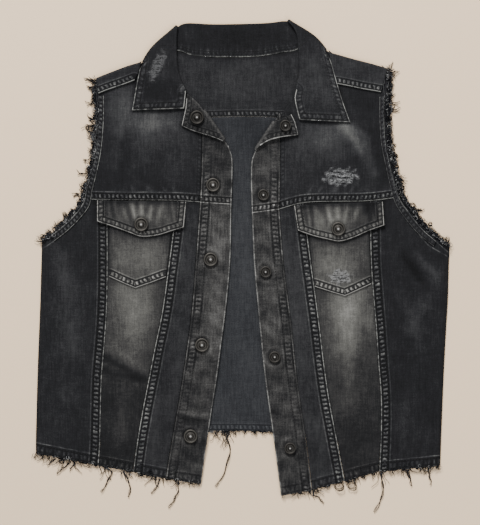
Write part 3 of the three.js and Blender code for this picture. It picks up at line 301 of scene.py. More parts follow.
# Smaller creases beside those folds: negative heights are troughs.
CREASES = table("x0 y0 x1 y1 width height", [
    [120.8, 147.2, 151.8, 124.2, 5, 1.0], [151.8, 124.2, 164.5, 79.4, 5, 0.9],
    [150.5, 128.8, 163, 84, 5, -1.7], [106.9, 82.8, 109.3, 69, 3, 0.6],
    [118.5, 82.8, 119.6, 69, 3, 0.6], [199.3, 4.6, 223.4, -21.5, 5, 1.1], [186, 0, 213, -34, 5, -1],
    [181, -40, 205, -100, 9, 0.7], [181.7, -207, 195.5, -138, 9, 0.6],
    [-158, -114, -111, -139, 4, -1.2], [-153, -122, -112, -146, 4, 0.5],
    [-158, -129, -118, -141, 4, -0.9], [-135.7, -149.5, -136, -207, 6, 0.7],
    [-72.5, -181.7, -41.4, -185.2, 4, 0.8], [-72.5, -186, -44, -190, 4, -0.5],
    [-220, -57.5, -190, -92, 8, 0.6], [-222, -150, -180, -172, 9, 0.6],
    [-204, -23, -172, -57.5, 8, 0.6], [-138, 150, -150, 92, 7, 0.7], [-92, 138, -80, 86, 8, 0.6],
    [-110, 98, -66, 84, 7, 0.5], [64, 138, 78, 92, 7, 0.6], [131, -80.5, 119.6, -184, 8, 0.7],
    [98.9, -92, 112.7, -195.5, 7, 0.6], [-97.8, -161, -104, -230, 6, 0.6],
    [86, -195.5, 96.6, -247, 6, 0.6], [-66.7, -92, -86, -184, 6, 0.5],
])

# Soft vertical puckers above the button of each flap.
FLAP_PUCKERS = table("x0 y0 x1 y1 width height", [
    [-138, 60, -131, 41, 3, 0.5], [-126.5, 61, -123, 44, 2.5, 0.6], [-115, 62, -115.5, 48, 3, 0.6],
    [-103.5, 61, -106, 43, 2.5, 0.5], [-92, 60, -98, 40, 3, 0.4], [86, 58, 93, 37, 3, 0.4],
    [98, 59, 102, 40, 2.5, 0.6], [109, 60, 110, 44, 3, 0.6], [121, 60, 118, 41, 2.5, 0.5],
    [134, 60, 128, 42, 3, 0.5],
])

# Creases in the stand of the collar behind the neck.
STAND_CREASES = table("x0 y0 x1 y1 width height", [
    [-66, 268, -62, 246, 3, 0.9], [-59, 268, -56, 248, 3, 0.7], [50, 270, 55, 250, 3, 0.7],
])

# Loose threads that hang from the hems, longer than the fray round them.
THREADS = table("hem x0 y0 x1 y1 x2 y2 x3 y3", [
    ["l", -213.9, -230.5, -217.3, -233.4, -220.8, -235.7, -224.2, -238],
    ["l", -196.6, -233.9, -202.4, -239.2, -208.1, -243.8, -212.7, -248.4],
    ["l", -156.9, -241.7, -149.5, -246.1, -155.2, -257.6, -162.1, -269.1],
    ["l", -135.7, -245.9, -129.9, -257.6, -128.8, -265.6, -131.1, -274.8],
    ["l", -94.3, -254, -96.6, -259.9, -100, -265.6, -103.5, -271.4],
    ["l", -72.9, -257.6, -73.6, -267.9, -78.2, -278.3, -83.9, -287.5],
    ["b", -18.4, -200.4, -13.8, -219.6, -19.5, -243.8, -29.9, -263.3],
    ["r", 81.6, -267.9, 82.8, -272.5, 88.5, -276, 94.3, -281.8],
    ["r", 159.2, -247, 162.1, -264.5, 158.7, -280.6, 151.8, -292.1],
    ["r", 189.7, -244, 192, -248.4, 193.2, -255.3, 195.5, -262.2],
    ["r", 213.9, -241.7, 215, -247.2, 216.2, -254.1, 217.3, -261],
])

# Small loops and tangles on the hems and armholes.
TANGLES = table("x y size turns tone", [
    [111.6, -263.5, 6.2, 1.1, 0], [126.5, -261.4, 6, 1.2, 0], [85.1, -268, 3.4, 0.9, 0.08],
    [188, -226, 2.6, 1.4, 0.08], [-105, -246, 3, 0.9, 0.06], [-207, -234, 3.2, 1, 0.06],
    [-20, -203, 2.6, 1, 0.08], [176.2, 116.5, 3.4, 1.2, 0.1], [177.4, 105.5, 3.2, 1.3, 0.1],
    [184.6, 80.5, 3.6, 1.4, 0.1], [196, 60, 3.8, 1.3, 0.1], [216.5, 39, 2.6, 1.6, 0.1],
    [236.5, 20.7, 3.4, 1.5, 0.1], [-177.5, 149, 2.6, 1.1, 0.05], [-204, 49.5, 3, 1.4, 0.05],
    [-229, 24.2, 2.8, 1.2, 0.05],
])

# Wisps that fan out of the hems: place, length, heading in degrees from straight down, and strands.
WISPS = table("x y size lean strands", [
    [-236, -226, 8, -30, 6], [-227, -229, 10, 0, 4], [-221, -230, 9, -20, 4],
    [-204, -232.5, 14, -35, 5], [-192, -235, 17, -4, 7], [-184, -237, 9, 30, 3],
    [-162, -240, 12, 25, 5], [-156, -243, 20, -8, 4], [-139, -246, 16, 8, 5], [-130, -247.5, 10, 0, 3],
    [-113, -249.5, 9, -20, 4], [-99, -253, 14, -22, 5], [-92, -254.5, 10, 20, 3],
    [-74, -257, 13, -8, 4], [-58, -259, 9, 12, 3], [-28, -200, 16, 10, 5], [-22, -200.5, 22, 4, 5],
    [-15, -200, 22, 6, 6], [-8, -199.5, 14, 4, 4], [3, -199.5, 7, -10, 3], [32, -200.5, 6, 5, 3],
    [66, -269.5, 9, -12, 4], [77, -267.5, 13, 18, 4], [82, -266, 15, 60, 5], [98, -261, 8, 30, 3],
    [130, -253, 10, 20, 5], [138, -251.5, 8, 35, 4], [153, -246.5, 12, 12, 5], [160, -245.8, 22, 8, 5],
    [172, -244.6, 8, 0, 4], [186, -243.4, 12, 8, 6], [191, -242.9, 14, 18, 4], [206, -241.2, 10, 10, 5],
    [213, -240.6, 15, -2, 5], [220, -239.9, 10, -25, 5], [226, -239, 7, 10, 4],
])

# Dark tufts that stick out of the armholes, in the same columns.
TUFTS = table("x y size lean strands", [
    [-169.5, 151, 14, -76, 9], [-170, 158, 9, -96, 6], [-171, 144, 8, -70, 5], [-171.5, 177, 9, -84, 5],
    [-171, 203, 9, -108, 8], [-171, 196, 9, -72, 5], [-178, 112, 6, -80, 4], [-181, 96, 9, -84, 6],
    [-188, 73, 8, -80, 5], [167, 209, 16, 154, 9], [170, 206, 12, 140, 6], [170.5, 199, 7, 95, 4],
    [170, 186, 8, 92, 4], [170.5, 177, 11, 88, 2], [170, 168, 12, 118, 3], [173, 128, 5, 95, 4],
    [200, 54, 9, 84, 4],
])

# Faded places, and darker ones where the amount is negative: where, how wide, how much, and on which piece.
FADES = table("on x y rx ry amount", [
    ["front_yoke_l", -96, 158, 38, 24, 0.19],
    ["front_yoke_l", -136, 174, 17, 32, 0.21],
    ["front_yoke_l", -70, 120, 14, 40, 0.07],
    ["front_yoke_l", -95, 155, 26, 9, 0.1],
    ["front_yoke_l", -106, 90, 54, 14, -0.03],
    ["front_yoke_r", 94, 142, 30, 24, 0.21],
    ["front_yoke_r", 146, 170, 20, 24, -0.09],
    ["front_yoke_r", 152, 124, 15, 30, -0.07],
    ["front_yoke_r", 60, 110, 12, 40, 0.05],
    ["pocket_flap_l", -112, 50, 30, 14, 0.14],
    ["pocket_flap_l", -88, 46, 14, 12, 0.06],
    ["pocket_flap_r", 100, 40, 32, 16, 0.26],
    ["pocket_l", -118, 0, 34, 26, 0.21],
    ["pocket_r", 108, -10, 30, 32, 0.26],
    ["middle_panel_l", -124, -58, 34, 58, 0.45],
    ["middle_panel_l", -126, -112, 24, 22, 0.1],
    ["middle_panel_r", 124, -60, 36, 60, 0.37],
    ["middle_panel_r", 120, -52, 22, 32, 0.1],
    ["placket_l", -26, 26, 16, 34, 0.21],
    ["placket_l", -26, 118, 16, 34, -0.06],
    ["placket_l", -30, -62, 13, 52, 0.23],
    ["placket_l", -44, -150, 12, 50, 0.06],
    ["placket_r", 26, 112, 12, 30, 0.1],
    ["placket_r", 26, 20, 12, 40, 0.08],
    ["placket_r", 34, -80, 12, 60, 0.13],
    ["placket_r", 56, -180, 14, 40, 0.05],
    ["collar", -5, 253, 70, 14, -0.06],
    ["collar", -94, 190, 24, 18, -0.06],
    ["collar", -88, 214, 8, 26, 0.04],
    ["collar", 84, 206, 18, 34, 0.15],
    ["collar", 104, 186, 10, 20, 0.08],
    ["centre_panel_l", -66, 0, 12, 60, 0.06],
    ["centre_panel_r", 62, -60, 12, 70, 0.07],
    ["side_panel_r", 206, -60, 30, 60, -0.02],
    ["side_panel_l", -200, -150, 24, 50, 0.02],
    ["back_yoke", 0, 204, 90, 22, 0.07],
])

# Painted highlights on folds, partly wear, and painted shade in the creases beside them, as soft light and
# dark streaks.
FOLD_HIGHLIGHTS_AND_SHADE = table("on x0 y0 x1 y1 width amount", [
    ["middle_panel_l", -158, -114, -111, -139, 4.5, -0.17],
    ["middle_panel_l", -158, -129, -118, -141, 4, -0.12],
    ["middle_panel_l", -150, -104, -112, -126, 6, 0.06],
    ["middle_panel_l", -136, -158, -132, -190, 5, -0.06],
    ["placket_l", -73, -181, -42, -187, 2.4, -0.14],
    ["placket_l", -71, -176, -42, -180, 3, 0.08],
    ["placket_l", -67, -192, -44, -195, 6, -0.05],
    ["front_yoke_r", 119, 150, 136, 124, 5.5, 0.15],
    ["front_yoke_r", 136, 124, 153, 94, 5.5, 0.06],
    ["front_yoke_r", 148, 146, 162, 96, 6, -0.04],
    ["front_yoke_r", 116, 130, 134, 104, 6, -0.05],
    ["front_yoke_l", -128, 150, -140, 90, 7, -0.05],
    ["side_panel_r", 199, 5, 223, -22, 5, 0.05],
    ["side_panel_r", 186, 0, 213, -34, 5, -0.07],
    ["side_panel_r", 181, -40, 205, -100, 8, 0.04],
    ["middle_panel_r", 140, -50, 128, -160, 6, -0.05],
    ["placket_r", 24, -26, 40, -44, 3, 0.07],
    ["placket_r", 28, -4, 46, -12, 3, -0.07],
    ["placket_r", 22, 58, 44, 46, 2.5, 0.08],
    ["placket_l", -24, 104, -40, 96, 3, 0.06],
    ["back_panel", -28, 60, 30, -60, 16, 0.03],
])

# Worn-through places: centre, half width and half height, lean, strength, and threads to a square millimetre.
BARE = table("on x y rx ry lean amount threads", [
    ["front_yoke_r", 113.5, 93.5, 19, 9.2, 0.05, 0.72, 0.8],
    ["pocket_r", 113, -21.5, 12, 9, 0, 0.5, 0.5],
    ["collar", -97.5, 219, 7, 18, 0.42, 0.22, 0.2],
])

# Dark slits in the largest of them.
SLITS = [
    [[103.5, 94.2], [110, 93], [116.5, 91.6], [121, 92.6], [127, 93.4]],
    [[103, 99.6], [108, 98.2], [111, 98.6]],
    [[119, 99.4], [124.5, 98.7], [130, 97.8]],
]

# Filled while the pieces are built: cloth by node, and lines to stitch with their band's width and side.
CLOTHS = {}
STITCHES = []


def ease(t):
    t = np.clip(t, 0, 1)
    return t * t * (3 - 2 * t)


def mix(a, b, t):
    return a + (b - a) * t


# Soft step up from 0 at low to 1 at high, and the same step down.
def between(t, low, high):
    return ease((t - low) / (high - low))


def fall(t, low, high):
    return 1 - between(t, low, high)


def bell(distance, width):
    return np.exp(-((distance / width) ** 2))


# A smooth line through points, ten steps to a span.
def spline(points):
    points = np.asarray(points, float)
    padded = np.vstack([2 * points[0] - points[1], points, 2 * points[-1] - points[-2]])
    line = []
    for k in range(len(points) - 1):
        before, start, end, after = padded[k : k + 4]
        pairs = zip(padded[k : k + 3], padded[k + 1 : k + 4])
        first, middle, last = (math.sqrt(math.dist(a, b)) for a, b in pairs)
        middle = middle if middle > 1e-4 else 1.0
        first = first if first > 1e-4 else middle
        last = last if last > 1e-4 else middle
        leave = (start - before) / first - (end - before) / (first + middle) + (end - start) / middle
        arrive = (end - start) / middle - (after - start) / (middle + last) + (after - end) / last
        leave, arrive = leave * middle, arrive * middle
        bend = -3 * start + 3 * end - 2 * leave - arrive
        twist = 2 * start - 2 * end + leave + arrive
        line.extend(start + leave * t + bend * t**2 + twist * t**3 for t in np.arange(10) / 10)
    return np.array([*line, points[-1]])


# Length of a line up to each of its points.
def reaches(line):
    return np.concatenate([[0], np.cumsum(np.linalg.norm(np.diff(line, axis=0), axis=1))])


# A line as a function of the share of its length.
def along(line):
    line = np.asarray(line, float)
    reach = reaches(line)

    def at(share):
        wanted = np.clip(share, 0, 1) * reach[-1]
        return np.stack([np.interp(wanted, reach, line[:, k]) for k in range(2)], axis=-1)

    return at


# Distance from a line, positive on its left, and length along it.
def beside(line, x, y):
    line = np.asarray(line, float)
    reach = reaches(line)
    nearest = np.full(np.shape(x), 1e9)
    length = np.zeros(np.shape(x))
    for k in range(len(line) - 1):
        dx, dy = line[k + 1] - line[k]
        size = dx * dx + dy * dy
        if size == 0:
            continue
        share = np.clip(((x - line[k, 0]) * dx + (y - line[k, 1]) * dy) / size, 0, 1)
        px, py = x - line[k, 0] - share * dx, y - line[k, 1] - share * dy
        distance = np.hypot(px, py)
        side = np.where(dx * py - dy * px < 0, -1.0, 1.0)
        closer = distance < np.abs(nearest) - 1e-9
        nearest = np.where(closer, distance * side, nearest)
        length = np.where(closer, reach[k] + share * math.sqrt(size), length)
    return nearest, length


# Directions to the left of a line at its points.
def normals(line):
    tangent = np.gradient(line, axis=0)
    normal = np.stack([-tangent[:, 1], tangent[:, 0]], axis=1)
    return normal / (np.linalg.norm(normal, axis=1, keepdims=True) + 1e-12)


def shifted(line, distance):
    fine = along(line)(np.linspace(0, 1, max(2, int(reaches(line)[-1] / 3))))
    return fine + normals(fine) * distance


# A surface between four lines, at every u (left to right) and v (bottom to top). Its sides run downwards.
def patch(bottom, top, left, right, us, vs):
    u, v = us[None, :, None], vs[:, None, None]
    ends = mix(bottom(us)[None], top(us)[None], v)
    sides = mix(left(1 - vs)[:, None], right(1 - vs)[:, None], u)
    corners = mix(mix(bottom(0.0), bottom(1.0), u), mix(top(0.0), top(1.0), u), v)
    return ends + sides - corners


# Moves the border points of a grid inwards, each border by its own distance.
def inset(grid, left=0, right=0, bottom=0, top=0):
    def push(line, inner, distance):
        normal = normals(line)
        inwards = np.where(np.sum(normal * (inner - line), axis=1, keepdims=True) < 0, -1, 1)
        return normal * inwards * distance

    moved = grid.copy()
    moved[:, 0] += push(grid[:, 0], grid[:, 1], left)
    moved[:, -1] += push(grid[:, -1], grid[:, -2], right)
    moved[0] += push(grid[0], grid[1], bottom)
    moved[-1] += push(grid[-1], grid[-2], top)
    return moved


# Shares from 0 to 1 over a length, closer where a seam lies, with a narrow step at each end.
def stops(length, fine=(), cell=CELL):
    places = [0.0, RIM]
    while places[-1] < length - RIM - 0.6 * cell:
        here = places[-1]
        close = any(low - 1 <= here <= high + 1 for low, high in fine)
        places.append(here + (FINE if close else cell))
    places = [place for place in places if place < length - RIM - 0.4] + [length - RIM, length]
    return np.array(places) / length


# Share along a stroke from x0, y0 to x1, y1, and distance from it.
def from_stroke(row, x, y):
    dx, dy = row["x1"] - row["x0"], row["y1"] - row["y0"]
    share = np.clip(((x - row["x0"]) * dx + (y - row["y0"]) * dy) / (dx * dx + dy * dy), 0, 1)
    return share, np.hypot(x - row["x0"] - share * dx, y - row["y0"] - share * dy)


def ridges(rows, x, y):
    height = np.zeros(np.shape(x))
    for row in rows:
        share, distance = from_stroke(row, x, y)
        fading = 0.35 + 0.65 * np.sin(np.pi * np.clip(share * 0.9 + 0.05, 0, 1))
        height = height + row["height"] * fading * bell(distance, row["width"])
    return height


def fold_at(x, y):
    height = np.zeros(np.shape(x))
    for row in FOLDS:
        height = np.maximum(height, row["height"] * bell(from_stroke(row, x, y)[1], row["width"]))
    return height


# Soft unevenness of cloth that was worn and laid down by hand.
def unevenness(x, y):
    slow = np.sin(x / 23 + 0.7 * np.sin(y / 31)) * np.sin(y / 37 + 1.3)
    quick = np.sin(x / 11.3 + y / 17 + 2 * np.sin(y / 41)) * np.sin(y / 19.7 - x / 29)
    return 0.55 + 0.4 * slow + 0.18 * quick


# Heights of the creases, folds and unevenness, only for colour: tone_fields paints them as highlight and
# shade.
def relief_of(x, y):
    return ridges(CREASES, x, y) + fold_at(x, y) + 0.5 * (unevenness(x, y) - 0.55)


# Edge of the collar's leaf, which lies under the back.
LEAF_EDGE = pick([row for row in COLLAR if row["turn"] == 0], "edgeX", "edgeY")


# Height of the underside of the back: raised where the collar's leaf lies under it.
def back_lift(x, y):
    past = y - (np.interp(x, *LEAF_EDGE.T) - 2.5)
    left, right = LEAF_EDGE[0, 0] - 3, LEAF_EDGE[-1, 0] + 3
    sides = np.minimum(ease((x - (left - RAMP)) / RAMP), ease((right + RAMP - x) / RAMP))
    return LEVEL * ease((past + RAMP) / RAMP) * sides


# Height of the underside of the fronts, and of their upper side.
def front_lift(x, y):
    lift = back_lift(x, y)
    share = lift / LEVEL
    on_back = ease((y - (np.interp(x, *BACK_HEM.T) - 3 - HEM_RAMP)) / HEM_RAMP)
    small = np.maximum(0, unevenness(x, y) + ridges(CREASES, x, y))
    folds = np.maximum(fold_at(x, y), small)
    return LEVEL * on_back + lift + 1.4 * share * (1 - share) + folds * (1 - share)


def front_top(x, y):
    return front_lift(x, y) + CLOTH


# Cloth drawn up in a ring round each button.
def button_rings(x, y, side, on):
    height = np.zeros(np.shape(x))
    for row in BUTTONS:
        if row["name"].endswith(side) and row["on"] == on:
            dx, dy = x - row["x"], y - row["y"]
            distance = np.hypot(dx, dy)
            ripple = 0.75 + 0.25 * np.sin(5 * np.arctan2(dy, dx) + row["x"])
            height = height + 0.5 * bell(distance - 11.2, 2.2) * ripple - 0.3 * bell(distance - 8.2, 1.6)
    return height


# Rounds the border of a wall: both sides draw together over the first two rows.
def rounded(outer, inner):
    outer, inner = outer.copy(), inner.copy()
    for axis in (0, 1):
        for step in (1, -1):
            top, low = outer.swapaxes(0, axis)[::step], inner.swapaxes(0, axis)[::step]
            for k, keep in ((0, 0.34), (1, 0.82)):
                middle, half = (top[k] + low[k]) / 2, (top[k] - low[k]) / 2
                top[k] = middle + half * keep
                low[k] = middle - half * keep
    return outer, inner


def linked(name, data):
    thing = bpy.data.objects.new(name, data)
    bpy.context.scene.collection.objects.link(thing)
    return thing


# A mesh from points and faces of four corners, where a repeated last corner means a triangle.
def make_object(name, points, faces, fields):
    faces = np.asarray(faces, np.int32)
    kept = np.ones(faces.shape, bool)
    kept[:, 3] = faces[:, 2] != faces[:, 3]
    corners = kept.sum(axis=1)
    mesh = bpy.data.meshes.new(name)
    mesh.vertices.add(len(points))
    mesh.vertices.foreach_set("co", (np.asarray(points) * 0.001).astype(np.float32).ravel())
    mesh.loops.add(int(corners.sum()))
    mesh.loops.foreach_set("vertex_index", faces[kept])
    mesh.polygons.add(len(faces))
    mesh.polygons.foreach_set("loop_start", (np.cumsum(corners) - corners).astype(np.int32))
    mesh.polygons.foreach_set("use_smooth", np.ones(len(faces), bool))
    for key, values in fields.items():
        vector = np.ndim(values) == 2
        layer = mesh.attributes.new(key, "FLOAT_VECTOR" if vector else "FLOAT", "POINT")
        layer.data.foreach_set("vector" if vector else "value", np.asarray(values, np.float32).ravel())
    mesh.update(calc_edges=True)
    return linked(name, mesh)


# A closed wall between two grids of points, with a rim wherever a present cell has no neighbour.
def wall(name, outer, inner, fields, present=None):
    rows, columns = outer.shape[:2]
    half = rows * columns
    here = np.ones((rows - 1, columns - 1), bool) if present is None else present
    index = np.arange(half).reshape(rows, columns)
    loop = [index[:-1, :-1][here], index[:-1, 1:][here], index[1:, 1:][here], index[1:, :-1][here]]
    upper = np.stack(loop, axis=1)
    starts, ends = np.concatenate(loop), np.concatenate([*loop[1:], loop[0]])
    alone = ~np.isin(starts * half + ends, ends * half + starts)
    starts, ends = starts[alone], ends[alone]
    rims = np.stack([ends, starts, starts + half, ends + half], axis=1)
    faces = np.concatenate([upper, upper[:, ::-1] + half, rims])
    points = np.concatenate([outer.reshape(-1, 3), inner.reshape(-1, 3)])
    p, q, r, s = (points[faces[:, k]] for k in range(4))
    if np.sum(p * (np.cross(q, r) + np.cross(r, s))) < 0:
        faces = faces[:, ::-1]
    used, faces = np.unique(faces, return_inverse=True)
    both = {
        key: np.concatenate([values.reshape(half, -1)] * 2)[used].squeeze() for key, values in fields.items()
    }
    return make_object(name, points[used], faces.reshape(-1, 4), both)


# Seams and edges that a piece carries, for its height, its colours and its stitches.
# A band is ten wide across, and holds the length along it and its strength.
def band_of(line, width, strength, side, x, y):
    distance, length = beside(line, x, y)
    return np.stack([distance * side * 10 / width, length, np.full(np.shape(x), strength)], axis=-1)


# A band that is too far away to show.
def no_band(x):
    return np.broadcast_to([50.0, 0, 0], (*np.shape(x), 3)).copy()


def band_height(band, rise):
    across, length = band[..., 0], band[..., 1]
    plateau = ease((11.2 - across) / 1.6) * ease((across + 1) / 1.5)
    ladder = np.cos(2 * np.pi * (length + 0.18 * across) / LADDER + 1.6 * np.sin(length / 17))
    middle = between(across, 1.5, 3.5) * fall(across, 6.5, 8.5)
    rows = bell(across - 1.9, 0.8) + bell(across - 8.1, 0.8)
    return plateau * (rise + 0.16 * ladder * middle - 0.16 * rows)


def rows_on(rows, name):
    return [row for row in rows if row["on"] == name]


def fades_and_fold_shading(name, x, y):
    tone = np.zeros(np.shape(x))
    for row in rows_on(FADES, name):
        spread = ((x - row["x"]) / row["rx"]) ** 2 + ((y - row["y"]) / row["ry"]) ** 2
        tone = tone + row["amount"] * np.exp(-spread)
    # Streaks of painted highlight on folds and painted shade in creases.
    for row in rows_on(FOLD_HIGHLIGHTS_AND_SHADE, name):
        tone = tone + row["amount"] * bell(from_stroke(row, x, y)[1], row["width"])
    return tone


def bareness(name, x, y):
    bare = np.zeros(np.shape(x))
    for row in rows_on(BARE, name):
        dx, dy = x - row["x"], y - row["y"]
        lean = dx - row["lean"] * dy
        ragged = 1 + 0.3 * np.sin(dx / 1.6 + 2 * np.sin(dy / 2.7)) + 0.2 * np.sin(dy / 1.3 + dx / 4)
        spread = ((lean / row["rx"]) ** 2 + (dy / row["ry"]) ** 2) * ragged
        bare = np.maximum(bare, row["amount"] * fall(spread, 0.45, 1.15))
    return bare


# Irregular short puckers along a seam: 0 in a hollow, 1 on a ridge.
def soft_teeth(length):
    wave = np.sin(length / 0.95 + 2.1 * np.sin(length / 4.7) + 1.3 * np.sin(length / 11.9))
    return np.maximum(0, wave) * (0.45 + 0.55 * np.sin(length / 7.3 + 2 * np.sin(length / 17)) ** 2)


# Painted shadow close to the outline of what lies on top; along a lapel's fold it is added instead, as a worn
# light line.
def shade(line, reach, amount, x, y):
    return amount * bell(beside(line, x, y)[0], reach)


# What the colours of a piece are made from: its tone, worn-through places, distance from an edge, and bands;
# its relief makes ridges lighter, as wear and painted highlight, and troughs darker, as painted shade.
def tone_fields(name, tone, x, y, bands, edge=None, relief=None):
    total = tone + fades_and_fold_shading(name, x, y)
    # Painted highlight on ridges and painted shade in troughs, following the relief.
    if relief is not None:
        total = total + 0.085 * np.clip(relief, -1.2, 2.2)
    fields = {"tone": total, "bare": bareness(name, x, y)}
    fields["edge"] = np.full(np.shape(x), 50.0) if edge is None else edge
    for k in range(3):
        fields[f"band{k}"] = bands[k] if k < len(bands) else no_band(x)
    return fields


def flap_outline(side):
    rows = FLAP_L if side == "l" else FLAP_R
    left, right = FLAP_TOPS[side]
    ends = [[rows[0]["topX"], left]], [[rows[-1]["topX"], right]]
    return np.vstack([ends[0], spline(pick(rows, "x", "bottom")), ends[1]])


# Outlines of the collar's wing and of the lapel, which lie on a front yoke.
def lying_on_yoke(side):
    wing = [row for row in COLLAR if row["turn"] == 180 and (row["edgeX"] < 0) == (side == "l")]
    edge = pick(wing, "edgeX", "edgeY")
    free = pick([wing[0 if side == "l" else -1]], "rollX", "rollY")
    edge = np.vstack([free, edge] if side == "l" else [edge, free])
    return edge, pick(LAPEL_L if side == "l" else LAPEL_R, "edgeX", "edgeY")


# What a piece rides on, its material, and the node that it stands for, if any.
def assign(thing, material, node=None):
    if node:
        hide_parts(node)
    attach(thing, "root")
    thing.data.materials.append(material)


def add_cloth(node, slot, outer, inner, fields, rests_on, present=None, held="laid"):
    thing = wall(f"cloth_{node}", outer, inner, fields, present)
    assign(thing, MATERIALS[slot], node)
    CLOTHS[node] = (thing, held, rests_on)


# A flat-lying panel between its underside and its thickness.
def panel(node, slot, x, y, low, thick, fields, rests_on):
    outer, inner = rounded(np.dstack([x, y, low + thick]), np.dstack([x, y, low]))
    add_cloth(node, slot, outer, inner, fields, rests_on)


def build_back_panel():
    seam = along(pick(BACK_YOKE, "seamX", "seamY"))
    sides = []
    for rows, ends, armhole, corner in ((LOWER_L, ENDS_L, ARMHOLE_L, 0), (LOWER_R, ENDS_R, ARMHOLE_R, -1)):
        side = np.vstack([pick(rows, "side", "y"), [[ends[0]["hemX"], BACK_HEM[corner, 1]]]])
        sides.append(np.vstack([seam(float(abs(corner)))[None], spline(armhole[3:]), side]))
    hem = BACK_HEM.copy()
    hem[[0, -1], 0] = sides[0][-1, 0], sides[1][-1, 0]
    hem = spline(hem)
    inside = 0.0116  # share of the width by which the panel stays inside its outermost points
    us = inside + (1 - 2 * inside) * stops(455, (), 1.9 * CELL)
    vs = stops(370, [(0, 11)], 1.9 * CELL)
    grid = patch(along(hem), seam, along(sides[0]), along(sides[1]), us, vs)
    grid = inset(grid, bottom=0.2, top=GAP / 2)
    x, y = grid[..., 0], grid[..., 1]
    bands = [band_of(hem, 9, 0.45, 1, x, y)]
    waves = 0.12 * np.sin(x / 9 + np.sin(y / 23)) * np.sin(y / 31)
    thick = CLOTH + band_height(bands[0], 0.15) + waves * between(y, -190, -150)
    # Darker towards the top, under the yoke: painted shade.
    tone = 0.28 - 0.05 * between(y, 90, 140)
    fields = tone_fields("back_panel", tone, x, y, bands, relief=waves * 2)
    panel("back_panel", "denim_inside", x, y, np.zeros(x.shape), thick, fields, ["floor"])


# Middle of each cell between two columns, and whether the rows on both sides of it are marked.
def marked_cells(rows, name, columns):
    marks = [bool(a[name] and b[name]) for a, b in zip(rows, rows[1:])]
    middles = (columns[1:] + columns[:-1]) / 2
    return middles, np.array([marks[min(int(c), len(marks) - 1)] for c in middles])


# Back yoke: the main sheet, the turn over each shoulder, and the laps on the fronts.
def build_back_yoke():
    rows = BACK_YOKE
    names = ["topX", "topY", "seamX", "seamY", "lapX", "lapY"]
    values = pick(rows, *names)
    last = len(rows) - 1
    columns = []
    for k in range(last):
        count = max(2, int(round(np.linalg.norm(values[k + 1, :2] - values[k, :2]) / CELL)))
        columns.extend(k + np.arange(count) / count)
    columns = np.array([0, 0.04, *columns[1:], last - 0.04, last])
    at = {name: np.interp(columns, np.arange(last + 1), values[:, n]) for n, name in enumerate(names)}
    shift = np.interp(columns, [0, 1, last - 1, last], [1.2, 0, 0, -1.2])
    middles, wrapped = marked_cells(rows, "wraps", columns)
    wrapped |= (np.abs(middles - 4.25) < 0.3) | (np.abs(middles - 17.7) < 0.35)

    outer, inner = [], []
    vs = stops(66, [(0, 9)])
    for v in vs:
        x = mix(at["seamX"], at["topX"], v) + shift
        y = mix(at["seamY"] + GAP / 2, at["topY"], v)
        low = back_lift(x, y)
        outer.append(np.column_stack([x, y, low]))
        inner.append(np.column_stack([x, y, low + CLOTH]))
    top_x, top_y = at["topX"], at["topY"]
    away = np.column_stack([top_x - at["lapX"], top_y - at["lapY"]])
    away /= np.maximum(np.linalg.norm(away, axis=1, keepdims=True), 1)
    floor = back_lift(top_x, top_y)
    radius = (front_top(top_x, top_y) + GAP + SPARE - floor - CLOTH) / 2
    for turn in np.radians(np.arange(20, 181, 20)):
        for store, size in ((outer, radius + CLOTH), (inner, radius)):
            flat = np.column_stack([top_x + shift, top_y]) + away * (size * math.sin(turn))[:, None]
            store.append(np.column_stack([flat, floor + CLOTH + radius - size * math.cos(turn)]))
    lap_start = len(outer)
    for lap in stops(26, [(0, 26)])[1:]:
        x = mix(top_x + shift, at["lapX"], lap)
        y = mix(top_y, at["lapY"], lap)
        low = front_top(x, y) + GAP + SPARE
        inner.append(np.column_stack([x, y, low]))
        outer.append(np.column_stack([x, y, low + CLOTH]))

    outer, inner = np.array(outer), np.array(inner)
    x, y = outer[..., 0], outer[..., 1]
    on_lap = np.zeros(x.shape, bool)
    on_lap[lap_start:] = True
    lap_band, seam_band = no_band(x), no_band(x)
    for chosen, here in ((rows[:5], on_lap & (x < 0)), (rows[18:], on_lap & (x > 0))):
        line = pick(chosen, "lapX", "lapY")
        lap_band[here] = band_of(line, LAP_BAND, 0.9, 1, x, y)[here]
        STITCHES.append((line, LAP_BAND, 1))
    seam_line = pick(rows, "seamX", "seamY")
    seam_band[~on_lap] = band_of(seam_line, BACK_BAND, 0.75, 1, x, y)[~on_lap]
    STITCHES.append((seam_line[8:16], BACK_BAND, 1))
    outer[on_lap, 2] += band_height(lap_band, 0.25)[on_lap]
    inner[: len(vs), :, 2] += band_height(seam_band, 0.3)[: len(vs)]
    present = np.ones((len(outer) - 1, len(columns) - 1), bool)
    present[len(vs) - 1 :] = wrapped
    tone = np.where(on_lap, np.where(x < 0, 0.24, 0.28), 0.245)
    # Painted shadow along the neck line, under the collar's stand.
    tone = tone - shade(pick(rows[6:18], "topX", "topY"), 2.4, 0.13, x, y) * ~on_lap
    edge = np.where(on_lap, np.maximum(0, lap_band[..., 0] * 0.86), 50)
    fields = tone_fields("back_yoke", tone, x, y, [lap_band, seam_band], edge)
    outer, inner = rounded(outer, inner)
    add_cloth("back_yoke", "denim", outer, inner, fields, ["collar", "floor"], present)


